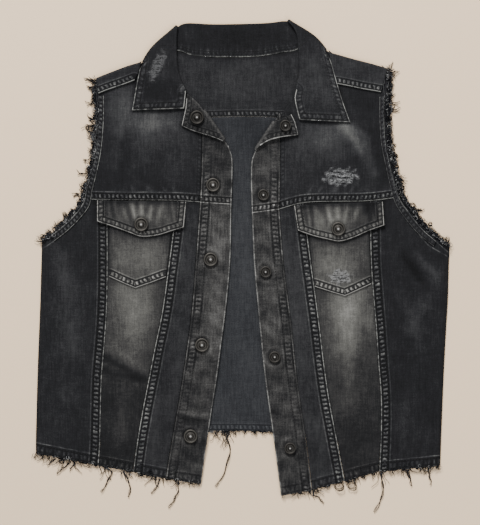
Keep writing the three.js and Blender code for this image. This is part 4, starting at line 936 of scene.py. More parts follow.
def build_front_yoke(side, armhole, neck, front, ends, shoulder, tone):
    node, turn = f"front_yoke_{side}", TURN[side]
    neck_line = np.vstack([pick(neck, "seamX", "seamY"), front])
    seam = spline([armhole[-1], *ends])
    us, vs = stops(135), stops(140, [(0, 11)])
    grid = patch(along(seam), along(shoulder), along(spline(armhole)), along(neck_line), us, vs)
    grid = inset(grid, right=GAP + SPARE, bottom=GAP / 2, top=GAP)
    x, y = grid[..., 0], grid[..., 1]
    bands = [band_of(seam, YOKE_BAND, 0.95, turn, x, y), band_of(spline(front[3:]), 6, 0.25, -turn, x, y)]
    thick = CLOTH + band_height(bands[0], FELL) + 0.15 * bareness(node, x, y) * np.sin(y * 2.6)
    across, length = bands[0][..., 0] * 0.94, bands[0][..., 1]
    above = across - 9.7
    edge = np.minimum(np.abs(above) + 1.0, np.abs(across - 0.8) + 0.55)
    fields = tone_fields(node, tone, x, y, bands, edge, relief_of(x, y))
    slanted = length + 0.6 * above
    puckers = np.maximum(0, np.sin(slanted / 2.4 + 1.6 * np.sin(slanted / 8.3))) ** 2
    puckers = puckers * between(above, 0, 2) * fall(above, 3, 14)
    fields["tone"] += 0.16 * puckers * between(np.abs(x), 62, 80) * fall(np.abs(x), 125, 150)
    # Painted shadow along the outlines of the collar's wing and the lapel, which lie on the yoke.
    for line in lying_on_yoke(side):
        fields["tone"] -= shade(line, 3.2, 0.13, x, y)
    panel(node, "denim", x, y, front_lift(x, y), thick, fields, ["back_yoke", "back_panel"])
    STITCHES.append((seam[3:], YOKE_BAND, turn))


def column_of(rows, ends, k, name):
    top, hem = pick(ends, "topX", "topY")[k], pick(ends, "hemX", "hemY")[k]
    return spline([top, *pick(rows, name, "y"), hem])


# One of the lower front panels; band is 1 or -1 where a felled seam lies along its inner or outer line.
def build_lower(node, slot, lines, width, height, fine, band, tone):
    side, turn = node[-1], TURN[node[-1]]
    at_side = node.startswith("side")
    outer_line, inner_line, top, hem = lines
    us, vs = stops(width, fine), stops(height, [(0, height if band else 12)])
    grid = patch(along(hem), along(top), along(outer_line), along(inner_line), us, vs)
    grid = inset(grid, left=0 if at_side else GAP / 2, right=GAP / 2, top=GAP / 2)
    x, y = grid[..., 0], grid[..., 1]
    bands = [band_of(hem, HEM_BAND, 0.3, turn, x, y)]
    thick = CLOTH + band_height(bands[0], 0.25)
    if band:
        seam = inner_line if band > 0 else outer_line
        bands.append(band_of(seam, FELL_BAND, 1, -turn * band, x, y))
        thick = np.maximum(thick, CLOTH + band_height(bands[1], FELL))
        STITCHES.append((seam, FELL_BAND, -turn * band))
    across, length = bands[0][..., 0], bands[0][..., 1]
    edge = np.abs(across * 1.15 - 12) + (0.8 if at_side else 1.2)
    low = front_lift(x, y)
    if at_side:
        low = low * np.sin(np.pi / 2 * np.clip(us / 0.06, 0, 1)) ** 1.2
        for line in BAND_ENDS[side]:
            edge = np.minimum(edge, np.abs(beside(line, x, y)[0]) + 0.8)
    fields = tone_fields(node, tone, x, y, bands, edge, relief_of(x, y))
    teeth = soft_teeth(length * 0.8) * fall(across, 5, 8) * (across > 0)
    fields["tone"] += 0.24 * teeth - 0.07 * fall(across, 8, 11)
    # Painted shadow along the pocket flap's outline and along the top seam, under the piece above.
    fields["tone"] -= shade(flap_outline(side), 4.5, 0.14, x, y) + shade(top, 3.5, 0.1, x, y)
    panel(node, slot, x, y, low, thick, fields, ["back_panel", "floor"])
    STITCHES.append((hem, HEM_BAND, turn))


def build_lower_front(side, rows, ends, armhole, tones):
    columns = [column_of(rows, ends, k, name) for k, name in enumerate(["side", "outer", "inner", "placket"])]
    tops, hems = pick(ends, "topX", "topY"), pick(ends, "hemX", "hemY")
    lower = spline(armhole[6:])[::-1]
    side_top = np.vstack([lower, spline([lower[-1], tops[1]])])
    for k, (name, slot, width, height, fine, band) in enumerate([
        ("side_panel", "denim", 76, 255, [(63, 76)], 1),
        ("middle_panel", "denim_faded", 62, 310, [], 0),
        ("centre_panel", "denim", 34, 316, [(0, 13)], -1),
    ]):
        lines = [columns[k], columns[k + 1], tops[k : k + 2] if k else side_top, hems[k : k + 2]]
        build_lower(f"{name}_{side}", slot, lines, width, height, fine, band, tones[k])


# Placket with the front's top corner turned out: a strip up to the fold, round it, and on as the lapel.
def build_placket(side, rows, ends, front, lapel, first, edge_top):
    node, turn = f"placket_{side}", TURN[side]
    names = ["foldX", "foldY", "edgeX", "edgeY"]
    values = pick(lapel, *names)
    fold_first, fold_last = values[first, :2], values[-1, :2]
    seam_line = [fold_first, front[front[:, 1] < fold_first[1]], column_of(rows, ends, 3, "placket")[1:]]
    seam_line = np.vstack(seam_line)
    edge_seam = column_of(rows, ends, 4, "edge")
    edge_line = np.vstack([fold_last, spline([*edge_top, edge_seam[0]]), edge_seam[1:]])
    cross_line, hem_line = pick(ends[3:], "topX", "topY"), pick(ends[3:], "hemX", "hemY")
    steps = len(lapel) - 1 - first

    def at_columns(columns):
        return np.stack([np.interp(columns, np.arange(len(lapel)), values[:, k]) for k in range(4)], axis=-1)

    def fold(u):
        return at_columns(first + u * steps)[..., :2]

    us, vs = stops(37, [(0, 14), (31, 37)]), stops(410, [(0, 410)])
    strip = inset(patch(along(hem_line), fold, along(seam_line), along(edge_line), us, vs), left=GAP / 2)
    corner_columns = np.arange(0, first, 0.12)
    columns = np.concatenate([corner_columns, first + us * steps])
    fold_line, lapel_edge = at_columns(columns)[:, :2], at_columns(columns)[:, 2:]
    corner = np.broadcast_to(fold_line[: len(corner_columns)], (len(vs), len(corner_columns), 2))
    grid = np.concatenate([corner, strip], axis=1)
    x, y = grid[..., 0], grid[..., 1]

    seam_band = band_of(seam_line, FRONT_BAND, 1, turn, x, y)
    length = seam_band[..., 1]
    seam_band[..., 2] = 0.16 + 0.4 * between(np.sin(length / 15 + 2 * np.sin(length / 37)), -0.2, 0.7)
    cross_band = band_of(cross_line, CROSS_BAND, 0.8, turn, x, y)
    cross_band[np.abs(x - cross_line[0, 0]) > 60, 0] = 50
    hem_band = band_of(hem_line, HEM_BAND, 0.3, turn, x, y)
    low = front_lift(x, y)
    rings = button_rings(x, y, side, "placket")
    crumple = 0.22 * np.sin(y / 4.1 + np.sin(x / 5)) * np.sin(x / 6.3 + y / 13)
    thick = PLACKET + rings + band_height(seam_band, 0) + 0.5 * band_height(cross_band, 0.5)
    thick = thick + crumple * between(np.abs(beside(edge_line, x, y)[0]), 0, 6)
    outer, inner = [np.dstack([x, y, low])], [np.dstack([x, y, low + thick])]

    fold_row = outer[0][-1]
    away = np.array([fold_first[1] - fold_last[1], fold_last[0] - fold_first[0]])
    away /= np.linalg.norm(away) * np.sign(away[1])
    for degrees in np.arange(22.5, 179, 22.5):
        angle = math.radians(degrees)
        thickness = mix(PLACKET, LAPEL, degrees / 180)
        for store, radius in ((outer, GAP / 2 + thickness), (inner, GAP / 2)):
            row = fold_row.copy()
            row[:, :2] += away * radius * math.sin(angle)
            row[:, 2] += PLACKET + GAP / 2 - radius * math.cos(angle)
            store.append(row[None])
    shares = stops(22, [(0, 22)])
    grid = mix(fold_row[:, :2], lapel_edge, shares[:, None, None])
    x, y = grid[..., 0], grid[..., 1]
    on_placket = ease((turn * (x - fold_first[0]) + 14) / 14)
    low = front_lift(x, y) + mix(CLOTH, PLACKET, on_placket) + GAP + (SOFT * np.sin(np.pi * shares))[:, None]
    inner.append(np.dstack([x, y, low]))
    outer.append(np.dstack([x, y, low + LAPEL + 0.8 * button_rings(x, y, side, "lapel")]))
    outer, inner = rounded(np.concatenate(outer), np.concatenate(inner))

    lapel_start = len(outer) - len(shares)
    middles, shown = marked_cells(lapel, "shows", columns)
    in_strip = middles >= first
    present = np.zeros((len(outer) - 1, len(columns) - 1), bool)
    present[: len(vs) - 1] = in_strip
    present[len(vs) - 1 : lapel_start] = shown & in_strip
    present[lapel_start:] = shown

    # Carries values of the strip on over the fold and the lapel.
    def extended(values, filler):
        more = (len(outer) - len(vs), *values.shape[1:])
        return np.concatenate([values, np.broadcast_to(filler, more)])

    x, y = outer[..., 0], outer[..., 1]
    on_lapel = np.zeros(x.shape, bool)
    on_lapel[lapel_start:] = True
    outline = lapel_edge[np.append(shown, False) | np.append(False, shown)]
    front_edge, lapel_side = (np.abs(beside(line, x, y)[0]) for line in (edge_line, outline))
    edge = np.where(on_lapel, np.minimum(front_edge, lapel_side), front_edge)
    bands = [extended(band, [50.0, 0, 0]) for band in (seam_band, cross_band, hem_band)]
    lapel_band = band_of(outline, 7.5, 0.5, 1, x, y)
    lapel_band[..., 0] = np.abs(lapel_band[..., 0])
    bands[0] = np.where(on_lapel[..., None], lapel_band, bands[0])
    relief = extended(rings * 2.6 + crumple * 4.5, 0.0) + 0.5 * relief_of(x, y)
    tone = np.where(on_lapel, 0.23, 0.29) + shade(fold_line, 1.6, 0.2, x, y)
    fields = tone_fields(node, tone, x, y, bands, edge, relief)
    rests_on = [f"front_yoke_{side}", "back_panel", "floor"]
    add_cloth(node, "denim_worn", outer, inner, fields, rests_on, present, "folded")
    stitched = [(seam_line[4:], FRONT_BAND), (cross_line, CROSS_BAND), (hem_line, HEM_BAND)]
    STITCHES.extend((line, width, turn) for line, width in stitched)


def build_pocket(side, line, top, top_ends):
    node = f"pocket_{side}"
    shares = stops(reaches(line)[-1], [(0, 200)])
    bottom = along(line)(shares)
    vs = stops(88, [(0, 12)])[:, None]
    x, y = mix(bottom[:, 0], mix(*top_ends, shares), vs), mix(bottom[:, 1], top, vs)
    band = band_of(line, POCKET_BAND, 1, 1, x, y)
    from_side = np.minimum(np.abs(x - x[:, :1]), np.abs(x - x[:, -1:]))
    thick = POCKET + band_height(band, 0.35) + 0.3 * bareness(node, x, y) * (0.5 + 0.5 * np.sin(y * 2.4))
    edge = np.maximum(0, band[..., 0] * 0.92) + 0.5
    fields = tone_fields(node, 0.35, x, y, [band], edge, relief_of(x, y))
    # Darker near the pocket's sides, and painted shadow along the flap's outline.
    fields["tone"] -= 0.08 * fall(from_side, 0, 4) + shade(flap_outline(side), 5, 0.2, x, y)
    panel(node, "denim_faded", x, y, front_top(x, y) + GAP, thick, fields, [f"middle_panel_{side}"])
    STITCHES.append((line, POCKET_BAND, 1))


def build_flap(side, rows):
    node = f"pocket_flap_{side}"
    line = pick(rows, "x", "bottom")
    smooth = spline(line)
    shares = stops(reaches(smooth)[-1], [(0, 200)])
    bottom = along(smooth)(shares)
    top_x = np.interp(bottom[:, 0], line[:, 0], pick(rows, "topX")[:, 0])
    top_y = mix(*FLAP_TOPS[side], shares)
    vs = stops(36, [(0, 36)])[:, None]
    x, y = mix(bottom[:, 0], top_x, vs), mix(bottom[:, 1], top_y, vs)
    outline = flap_outline(side)
    band = band_of(outline, FLAP_BAND, 0.55, 1, x, y)
    edge = np.abs(beside(outline, x, y)[0])
    puckers = ridges(FLAP_PUCKERS, x, y)
    rings = button_rings(x, y, side, "flap")
    thick = FLAP + band_height(band, 0.2) + puckers * 1.3 + 0.7 * rings
    fields = tone_fields(node, 0.3, x, y, [band], edge, puckers * 3 + rings)
    inside = between(edge, 7, 12)
    streaks = np.sin(x / 1.9 + 2.2 * np.sin(x / 6.1) + y / 9) * (0.5 + 0.5 * np.sin(x / 12 + 1))
    # Lighter on the puckers' ridges, as wear and painted highlight, with streaky colour inside the border.
    fields["tone"] += inside * (0.22 * puckers + 0.1 * streaks)
    across = band[..., 0]
    fields["tone"] += 0.09 * between(across, 2.2, 3.4) * fall(across, 6.6, 7.8)
    # Dark along the two stitch rows: unworn dye with painted shade in their grooves.
    fields["tone"] -= 0.1 * (bell(across - 1.85, 0.8) + bell(across - 8.15, 0.8))
    # Darker at the top: painted shadow under the yoke seam; the right flap is also darker at its top outer
    # corner.
    fields["tone"] -= 0.16 * fall(top_y[None] - y, 0, 6)
    if side == "r":
        fields["tone"] -= 0.24 * bell(x - 150, 13) * bell(y - 58, 8) * inside
    low = front_top(x, y) + GAP + POCKET + GAP + SPARE
    panel(node, "denim_faded", x, y, low, thick, fields, [f"pocket_{side}"])
    STITCHES.append((outline, FLAP_BAND, 1))


def build_armhole_band(side, rows, strength, unworn):
    node, turn = f"armhole_band_{side}", TURN[side]
    outer_line, inner_line = spline(pick(rows, "outerX", "outerY")), spline(pick(rows, "innerX", "innerY"))
    length = reaches(outer_line)[-1]
    vs = stops(length, [(0, length)])
    us = np.array([0, 0.08, 0.2, 0.35, 0.5, 0.65, 0.8, 0.92, 1])[None, :, None]
    grid = mix(along(outer_line)(vs)[:, None], along(inner_line)(vs)[:, None], us)
    x, y = grid[..., 0], grid[..., 1]
    band = band_of(inner_line, ARMHOLE_BAND, strength, -turn, x, y)
    thick = FELL + band_height(band, 0.15) - 0.1
    from_outer = np.abs(beside(outer_line, x, y)[0])
    edge = np.minimum(np.abs(band[..., 0]) * 0.66 + unworn, from_outer + 0.5)
    fields = tone_fields(node, 0.22, x, y, [band], edge)
    low = front_top(x, y) + GAP + SPARE
    panel(node, "denim", x, y, low, thick, fields, [f"front_yoke_{side}", f"side_panel_{side}"])
    STITCHES.append((inner_line, ARMHOLE_BAND, -turn))


# Rows of the collar's table with smooth rows between them, and whether the cells between them have a stand.
def collar_stations():
    names = ["seamX", "seamY", "rollX", "rollY", "edgeX", "edgeY", "turn", "puff"]
    values = pick(COLLAR, *names)
    turns = values[:, 6]
    last = len(values) - 1
    stations, stands = [], []
    for k in range(last):
        here, after = values[k], values[k + 1]
        same = turns[k] == turns[k + 1]
        before = values[k - 1] if k > 0 and turns[k - 1] == turns[k] else here
        beyond = values[k + 2] if k + 1 < last and turns[k + 2] == turns[k + 1] else after
        longest = max(np.linalg.norm(here[n : n + 2] - after[n : n + 2]) for n in (0, 2, 4))
        count = max(2, int(round(longest / (1.25 * FINE)))) if same else 6
        square = 2 * before - 5 * here + 4 * after - beyond
        cube = 3 * here - before - 3 * after + beyond
        for t in np.arange(count) / count:
            curve = 0.5 * (2 * here + (after - before) * t + square * t**2 + cube * t**3)
            stations.append(curve if same else mix(here, after, t))
            stands.append(bool(COLLAR[k]["stand"] and COLLAR[k + 1]["stand"]))
    stations = np.array([*stations, values[-1]])
    return {name: stations[:, k : k + 1] for k, name in enumerate(names)}, np.array(stands)


def build_collar():
    row, stands = collar_stations()
    seam_line, roll_line, edge_line = (
        np.hstack([row[name + "X"], row[name + "Y"]]) for name in ("seam", "roll", "edge")
    )
    stand_steps = stops(33, [(0, 9)])
    roll_steps = np.radians(np.arange(20, 179, 20))
    leaf_steps = np.array([0, *stops(48, [(36, 48)])[1:]])
    kinds = [("stand", s) for s in stand_steps] + [("roll", a) for a in roll_steps]
    leaf_start = len(kinds)
    kinds = kinds + [("leaf", s) for s in leaf_steps]

    back_x = row["rollX"] - (row["seamX"] + row["edgeX"]) / 2
    back_y = row["rollY"] - (row["seamY"] + row["edgeY"]) / 2
    length = np.hypot(back_x, back_y)
    away_x, away_y = row["rollX"] - row["edgeX"], row["rollY"] - row["edgeY"]
    reach = np.hypot(away_x, away_y)
    over, behind = row["turn"] >= 179.9, row["turn"] < 1
    facing = np.where(row["edgeX"] < 0, 1, -1)
    bow = np.zeros_like(length)
    for corner_x, corner_y, most in ((-74.5, 264.7, 3.4), (53.1, 271.2, 3.6)):
        bow = bow + most * bell(np.hypot(row["rollX"] - corner_x, row["rollY"] - corner_y), 16)
    angle = np.radians(row["turn"])

    # One side of the collar: 1 is the side that shows on the leaf.
    def surface(side):
        columns = []
        for kind, amount in kinds:
            x, y, lift, bowed = row["rollX"], row["rollY"], 0, 0
            if kind == "stand":
                x, y = mix(row["seamX"], x, amount), mix(row["seamY"], y, amount)
                radius = LEVEL / 2 - side * CLOTH / 2
            elif kind == "leaf":
                x, y = mix(x, row["edgeX"], amount), mix(y, row["edgeY"], amount)
                radius = 1.5 * LEVEL + side * CLOTH / 2
                puff = np.maximum(0, row["puff"])
                lift = puff * np.sin(np.pi * amount**0.8) + 0.25 * np.minimum(1, puff)
                bowed = bow * math.sin(math.pi * amount**1.4) * facing
            else:
                bend = LEVEL / 2 + side * CLOTH / 2
                x = x + back_x / length * bend * math.sin(amount)
                y = y + back_y / length * bend * math.sin(amount)
                radius = LEVEL - bend * math.cos(amount)
            sideways = radius * np.sin(angle) * facing + bowed
            x, y = x - away_y / reach * sideways, y + away_x / reach * sideways
            base = 2 * LEVEL - GAP / 2 - radius * np.cos(angle)
            z = np.where(over, base + front_lift(x, y) - 2 * LEVEL + lift, base)
            columns.append(np.hstack([x, y, z]))
        return np.stack(columns, axis=1)

    outer, inner = surface(1), surface(-1)
    x, y = outer[..., 0], outer[..., 1]
    shape = x.shape
    leaf_share, on_leaf, stand_share = np.zeros(shape), np.zeros(shape, bool), np.ones(shape)
    leaf_share[:, leaf_start:] = leaf_steps
    on_leaf[:, leaf_start:] = True
    stand_share[:, : len(stand_steps)] = stand_steps
    on_wing = on_leaf & over
    from_edge = (1 - leaf_share) * reach
    edge_length = np.broadcast_to(reaches(edge_line)[:, None], shape)
    nearest, length_at = from_edge, edge_length
    free = ~np.append(stands, stands[-1])
    left, right = (roll_line[free & (facing[:, 0] == turn)] for turn in (1, -1))
    folds = [np.array([roll_line[k], edge_line[k]]) for k in (0, -1)]
    for line in (folds[0], left, right, folds[1]):
        distance, reached = beside(line, x, y)
        distance = np.where(on_wing, np.abs(distance), 99)
        length_at = np.where(distance < nearest, reached, length_at)
        nearest = np.minimum(nearest, distance)
    nearest = np.where(on_leaf, nearest, 99)
    leaf_band = np.stack([nearest * 10 / LEAF_BAND, length_at, np.full(shape, 0.36)], axis=-1)
    from_seam = np.where(on_leaf, 99, stand_share * np.hypot(*(roll_line - seam_line).T)[:, None])
    seam_length = np.broadcast_to(reaches(seam_line)[:, None], shape)
    stand_band = np.stack([from_seam * 10 / STAND_BAND, seam_length, np.full(shape, 0.2)], axis=-1)
    creases = ridges(STAND_CREASES, x, y) * ~on_leaf * behind
    rippled = 0.25 * np.sin(edge_length / 5.2 + np.sin(edge_length / 13)) * np.exp(-from_edge / 6)
    lift = np.where(on_wing, band_height(leaf_band, 0.2) + rippled, 0)
    outer[..., 2] += lift
    inner[..., 2] += np.where(~on_leaf & behind, creases * 0.5 + band_height(stand_band, 0.2), 0)
    present = np.ones((shape[0] - 1, shape[1] - 1), bool)
    present[:, :leaf_start] = stands[:, None]

    tone = np.where(on_wing, 0.18, 0.15) + 0.05 * bell(leaf_share * reach, 5) * on_leaf
    teeth = soft_teeth(length_at) * between(nearest, 2, 4) * fall(nearest, 6, 10)
    # Light pucker teeth, and a dark line along the stitch row: unworn dye with painted shade in its groove.
    tone = tone + (0.3 * teeth - 0.12 * bell(nearest - 1.9, 0.7)) * on_wing
    teeth = soft_teeth(seam_length) * between(from_seam, 2, 4) * fall(from_seam, 6, 13)
    rows = 0.12 * bell(from_seam - 1.1, 0.8) - 0.08 * bell(from_seam - 3.1, 0.8)
    tone = tone + (0.22 * teeth + rows) * ~on_leaf
    edge = np.where(on_leaf, nearest, np.where(stand_share < 0.9, np.abs(from_seam - 0.7) + 0.3, 50))
    for corner_x, corner_y in ((-112.7, 223.1), (95.7, 236.7)):
        edge = edge + 3 * bell(x - corner_x, 7) * bell(y - corner_y, 7)
    fields = tone_fields("collar", tone, x, y, [leaf_band, stand_band], edge, lift + creases)
    outer, inner = rounded(outer, inner)
    rests_on = ["front_yoke_l", "front_yoke_r", "floor"]
    add_cloth("collar", "denim", outer, inner, fields, rests_on, present, "folded")
    on_left, on_right = (over[:, 0] & (facing[:, 0] == turn) for turn in (1, -1))
    STITCHES.append((np.vstack([roll_line[on_left][0], edge_line[on_left]]), LEAF_BAND, -1))
    STITCHES.append((np.vstack([edge_line[on_right], roll_line[on_right][-1]]), LEAF_BAND, -1))
    STITCHES.append((seam_line[behind[:, 0]], STAND_BAND, 1))


# Round metal parts, as profiles of radius and height turned about an axis.
CAP_PROFILE = [
    [0, 0], [6.4, 0], [7.3, 0.3], [7.8, 0.9], [8.0, 1.5], [7.9, 2.1], [7.5, 2.6], [6.9, 2.8], [6.3, 2.55],
    [5.9, 2.0], [5.3, 1.65], [4.5, 1.55], [3.9, 1.7], [3.5, 2.2], [3.1, 2.8], [2.4, 3.2], [1.4, 3.38],
    [0, 3.42],
]
STUD_PROFILE = [
    [0, 0], [5.4, 0], [6.1, 0.3], [6.5, 0.8], [6.6, 1.3], [6.4, 1.8], [5.9, 2.05], [5.3, 2.0], [4.8, 1.5],
    [4.0, 1.15], [3.1, 1.1], [2.4, 1.2], [2.2, 1.7], [2.25, 2.2], [2.0, 2.6], [1.3, 2.75], [0, 2.76],
]

# Painted shine of the metal from the middle of a button to its rim: a painted highlight in the middle, then
# light and dark rings of painted reflection.
BUTTON_PAINTED_SHINE = [
    [0, 0.09, 0.17, 0.3, 0.4, 0.5, 0.6, 0.72, 0.84, 0.93, 1],
    [1, 1, 0.3, 0.24, 0.12, 0.38, 0.22, 0.14, 0.38, 0.34, 0.16],
]

# From the underside of a front to where a button begins.
BUTTON_RISE = {
    "flap": CLOTH + 2 * GAP + POCKET + SPARE + FLAP,
    "lapel": PLACKET + GAP + LAPEL + SOFT,
    "placket": PLACKET,
}


def build_button(name, x, y, kind, on):
    radius, profile = (8, CAP_PROFILE) if kind == "cap" else (6.6, STUD_PROFILE)
    profile = spline(profile)[::3]
    turns = np.arange(12) * math.pi / 6
    base = float(np.max(front_lift(x + radius * np.cos(turns), y + radius * np.sin(turns))))
    sides = 48
    turns = np.arange(sides) * 2 * math.pi / sides
    rings = [
        np.column_stack([r * np.cos(turns), r * np.sin(turns), np.full(sides, z)]) for r, z in profile[1:-1]
    ]
    points = np.vstack([*rings, [[0, 0, 0], [0, 0, profile[-1][1]]]])
    points += [x, y, base + BUTTON_RISE[on] + GAP - 0.25]
    s = np.arange(sides)
    t = (s + 1) % sides
    last = (len(rings) - 1) * sides
    low, high = np.full(sides, last + sides), np.full(sides, last + sides + 1)
    loops = [[k + s, k + t, k + sides + t, k + sides + s] for k in range(0, last, sides)]
    loops += [[low, t, s, s], [last + s, last + t, high, high]]
    reach = np.hypot(points[:, 0] - x, points[:, 1] - y) / radius
    # The painted highlight in the middle stays at full strength; elsewhere lapel buttons and studs are
    # darker.
    darker = np.where(reach < 0.12, 1, 0.6 if on == "lapel" else 0.7 if kind == "stud" else 1)
    faces = np.hstack(loops).T
    thing = make_object(f"metal_{name}", points, faces, {"painted_shine": np.interp(reach, *BUTTON_PAINTED_SHINE) * darker})
    assign(thing, MATERIALS["metal"], name)


# Thin threads: each is a row of points with a radius and a tone, as a three-sided tube.
def build_threads(name, threads, node=None):
    paths = np.array([path for path, radius, tone in threads])
    count, steps = paths.shape[:2]
    ahead = np.gradient(paths, axis=1)
    ahead /= np.linalg.norm(ahead, axis=2, keepdims=True) + 1e-9
    across = np.cross(ahead, [0.05, 0.03, 1.0])
    across /= np.linalg.norm(across, axis=2, keepdims=True) + 1e-9
    over = np.cross(across, ahead)
    size = np.array([radius for path, radius, tone in threads])[:, None, None]
    size = size * np.linspace(1, 0.6, steps)[:, None]
    turns = [math.pi / 2, math.pi * 7 / 6, math.pi * 11 / 6]
    rings = [paths + size * (across * math.cos(turn) + over * math.sin(turn)) for turn in turns]
    points = np.stack(rings, axis=2).reshape(-1, 3)
    start = np.arange(count)[:, None, None] * steps * 3
    step = np.arange(steps - 1)[:, None] * 3
    corner = np.arange(3)
    a, b = start + step + corner, start + step + (corner + 1) % 3
    quads = np.stack([a, b, b + 3, a + 3], axis=-1).reshape(-1, 4)
    first = start[:, 0]
    faces = np.vstack([quads, first + [0, 2, 1, 1], first + (steps - 1) * 3 + [0, 1, 2, 2]])
    tones = np.repeat([tone for path, radius, tone in threads], steps * 3)
    thing = make_object(name, points, faces, {"tone": tones})
    assign(thing, MATERIALS["fray"], node)
    return thing


# All cloth in one tree, for the height of what lies on top of a place.
def cloth_tree():
    points, faces = [], []
    for thing, held, rests_on in CLOTHS.values():
        mesh = thing.data
        places = np.empty(len(mesh.vertices) * 3, np.float32)
        mesh.vertices.foreach_get("co", places)
        corners = np.empty(len(mesh.loops), np.int32)
        mesh.loops.foreach_get("vertex_index", corners)
        faces.append(corners.reshape(-1, 4) + sum(len(p) for p in points))
        points.append(places.reshape(-1, 3) * 1000)
    return BVHTree.FromPolygons(np.concatenate(points).tolist(), np.concatenate(faces).tolist())


def top_at(tree, x, y):
    hit = tree.ray_cast(Vector((x, y, 60)), Vector((0, 0, -1)))[0]
    return hit.z if hit is not None else None


# Topstitching: two rows of short threads in each band, half sunk in the cloth.
def build_stitches(tree):
    rng = np.random.default_rng(WEAR_SEED)
    t, fullness = np.array([[0.0, 0.15], [0.2, 0.95], [0.8, 0.95], [1.0, 0.15]]).T
    swing = np.array([1, 0, -1, 0])[:, None]
    rise = np.array([0, 1, 0, -1])[:, None] * [0, 0, 0.8]
    up = np.outer(0.22 * np.sin(math.pi * t) - 0.1, [0, 0, 1])
    k = np.arange(4)
    loops = [[r + k, r + (k + 1) % 4, r + 4 + (k + 1) % 4, r + 4 + k] for r in (0, 4, 8)]
    pattern = [*np.hstack(loops).T, [0, 2, 1, 1], [12, 13, 14, 14], [0, 3, 2, 2], [12, 14, 15, 15]]
    points = []
    for line, width, side in STITCHES:
        for share in (0.18, 0.82):
            row = shifted(line, width * share * side)
            path, length = along(row), reaches(row)[-1]
            for n in range(int(length / STITCH)):
                start, end = path((n * STITCH + 0.35) / length), path((n * STITCH + 2.95) / length)
                heights = [top_at(tree, *start), top_at(tree, *end)]
                if None in heights or abs(heights[0] - heights[1]) > 1:
                    continue
                ahead = np.array([*(end - start), heights[1] - heights[0]])
                across = np.array([-ahead[1], ahead[0], 0]) / math.hypot(ahead[0], ahead[1])
                thick = (0.36 + 0.04 * rng.random()) * fullness
                middle = [*start, heights[0]] + np.outer(t, ahead) + up
                around = (swing * across + rise) * thick[:, None, None]
                points.append((middle[:, None] + around).reshape(-1, 3))
    faces = np.arange(len(points))[:, None, None] * 16 + np.array(pattern)
    thing = make_object("topstitching", np.vstack(points), faces.reshape(-1, 4), {})
    assign(thing, thread_material())


# Where fibres leave a line: places, directions along it and out of it, at shares of its length.
def roots(path, share, away):
    ahead = path(np.clip(share + 0.004, 0, 1)) - path(np.clip(share - 0.004, 0, 1))
    ahead /= np.linalg.norm(ahead, axis=1, keepdims=True)
    return path(share), ahead, np.stack([ahead[:, 1], -ahead[:, 0]], axis=1) * away


def placed(spot, ahead, normal, out, side):
    return (spot[:, None, k] + normal[:, None, k] * out + ahead[:, None, k] * side for k in (0, 1))


# Fray: clumps of thin curly fibres that leave a raw edge.
def build_fray(name, node, line, level, away, per_mm, reach, seed, curls):
    rng = np.random.default_rng(seed)

    def column(low, high):
        return rng.uniform(low, high, count)[:, None]

    length = reaches(line)[-1]
    count = int(length * per_mm * (1))
    clumps = int(length / CLUMP)
    centres = (np.arange(clumps) + rng.uniform(0.1, 0.9, clumps)) * CLUMP
    size, lean = 0.2 + 0.9 * rng.random(clumps) ** 1.8, rng.normal(0, 0.6, clumps)
    bend, light = rng.normal(0, 2.2, clumps), rng.beta(0.8, 2.2, clumps)
    which = rng.integers(0, clumps, count)
    share = np.clip((centres[which] + rng.normal(0, 0.9, count)) / length, 0, 1)
    path = along(line)
    spot, ahead, normal = roots(path, share, away)
    t = np.linspace(0, 1, 6)
    advance = (reach * size[which])[:, None] * column(0.45, 1.1) / 5
    start = lean[which] + rng.normal(0, 0.3, count)
    turn = (bend[which] + rng.normal(0, 0.6, count))[:, None]
    heading = start[:, None] + turn * t**1.3
    out = np.cumsum(np.cos(heading), axis=1) * advance - advance
    side = np.cumsum(np.sin(heading), axis=1) * advance
    root = spot - normal * column(0.2, 1.8)
    x, y = placed(root, ahead, normal, out, side)
    high = level(root[:, 0], root[:, 1])[:, None] + column(0.3, 1.5)
    low = np.minimum(high, column(0.3, 1.9))
    z = mix(high, low, ease(t * 1.4)) + 0.7 * np.abs(np.sin(3 * t + turn)) * t
    radii = rng.uniform(0.26, 0.5, count)
    tones = np.clip(0.72 * light[which] + rng.normal(0, 0.1, count), 0, 1)
    threads = list(zip(np.stack([x, y, z], axis=-1), radii, tones))
    threads += curled(rng, path, away, level, int(length * curls), t)
    return build_threads(name, threads, node)


# Thicker curls of yarn that lie on a raw edge.
def curled(rng, path, away, level, count, t):
    def column(low, high):
        return rng.uniform(low, high, count)[:, None]

    spot, ahead, normal = roots(path, rng.random(count), away)
    start = column(0, 2 * math.pi)
    turn = start + column(2.2, 5.2) * np.where(rng.random(count) < 0.5, -1, 1)[:, None] * t
    size = column(0.8, 2.1)
    drift = rng.normal(0, 1.6, count)[:, None] * t
    out = column(-2.2, 3.6) + size * np.cos(turn)
    x, y = placed(spot, ahead, normal, out, drift + size * np.sin(turn))
    rest = level(spot[:, 0], spot[:, 1])[:, None]
    z = mix(np.minimum(rest, 0.6) + 0.5, rest + CLOTH + 0.25, fall(out, -0.6, 0.8)) + column(0, 1.0)
    z = z + 0.4 * np.abs(np.sin(2.7 * t + start))
    tones = np.where(rng.random(count) < 0.3, rng.uniform(0.45, 0.95, count), rng.uniform(0, 0.25, count))
    return list(zip(np.stack([x, y, z], axis=-1), rng.uniform(0.22, 0.36, count), tones))


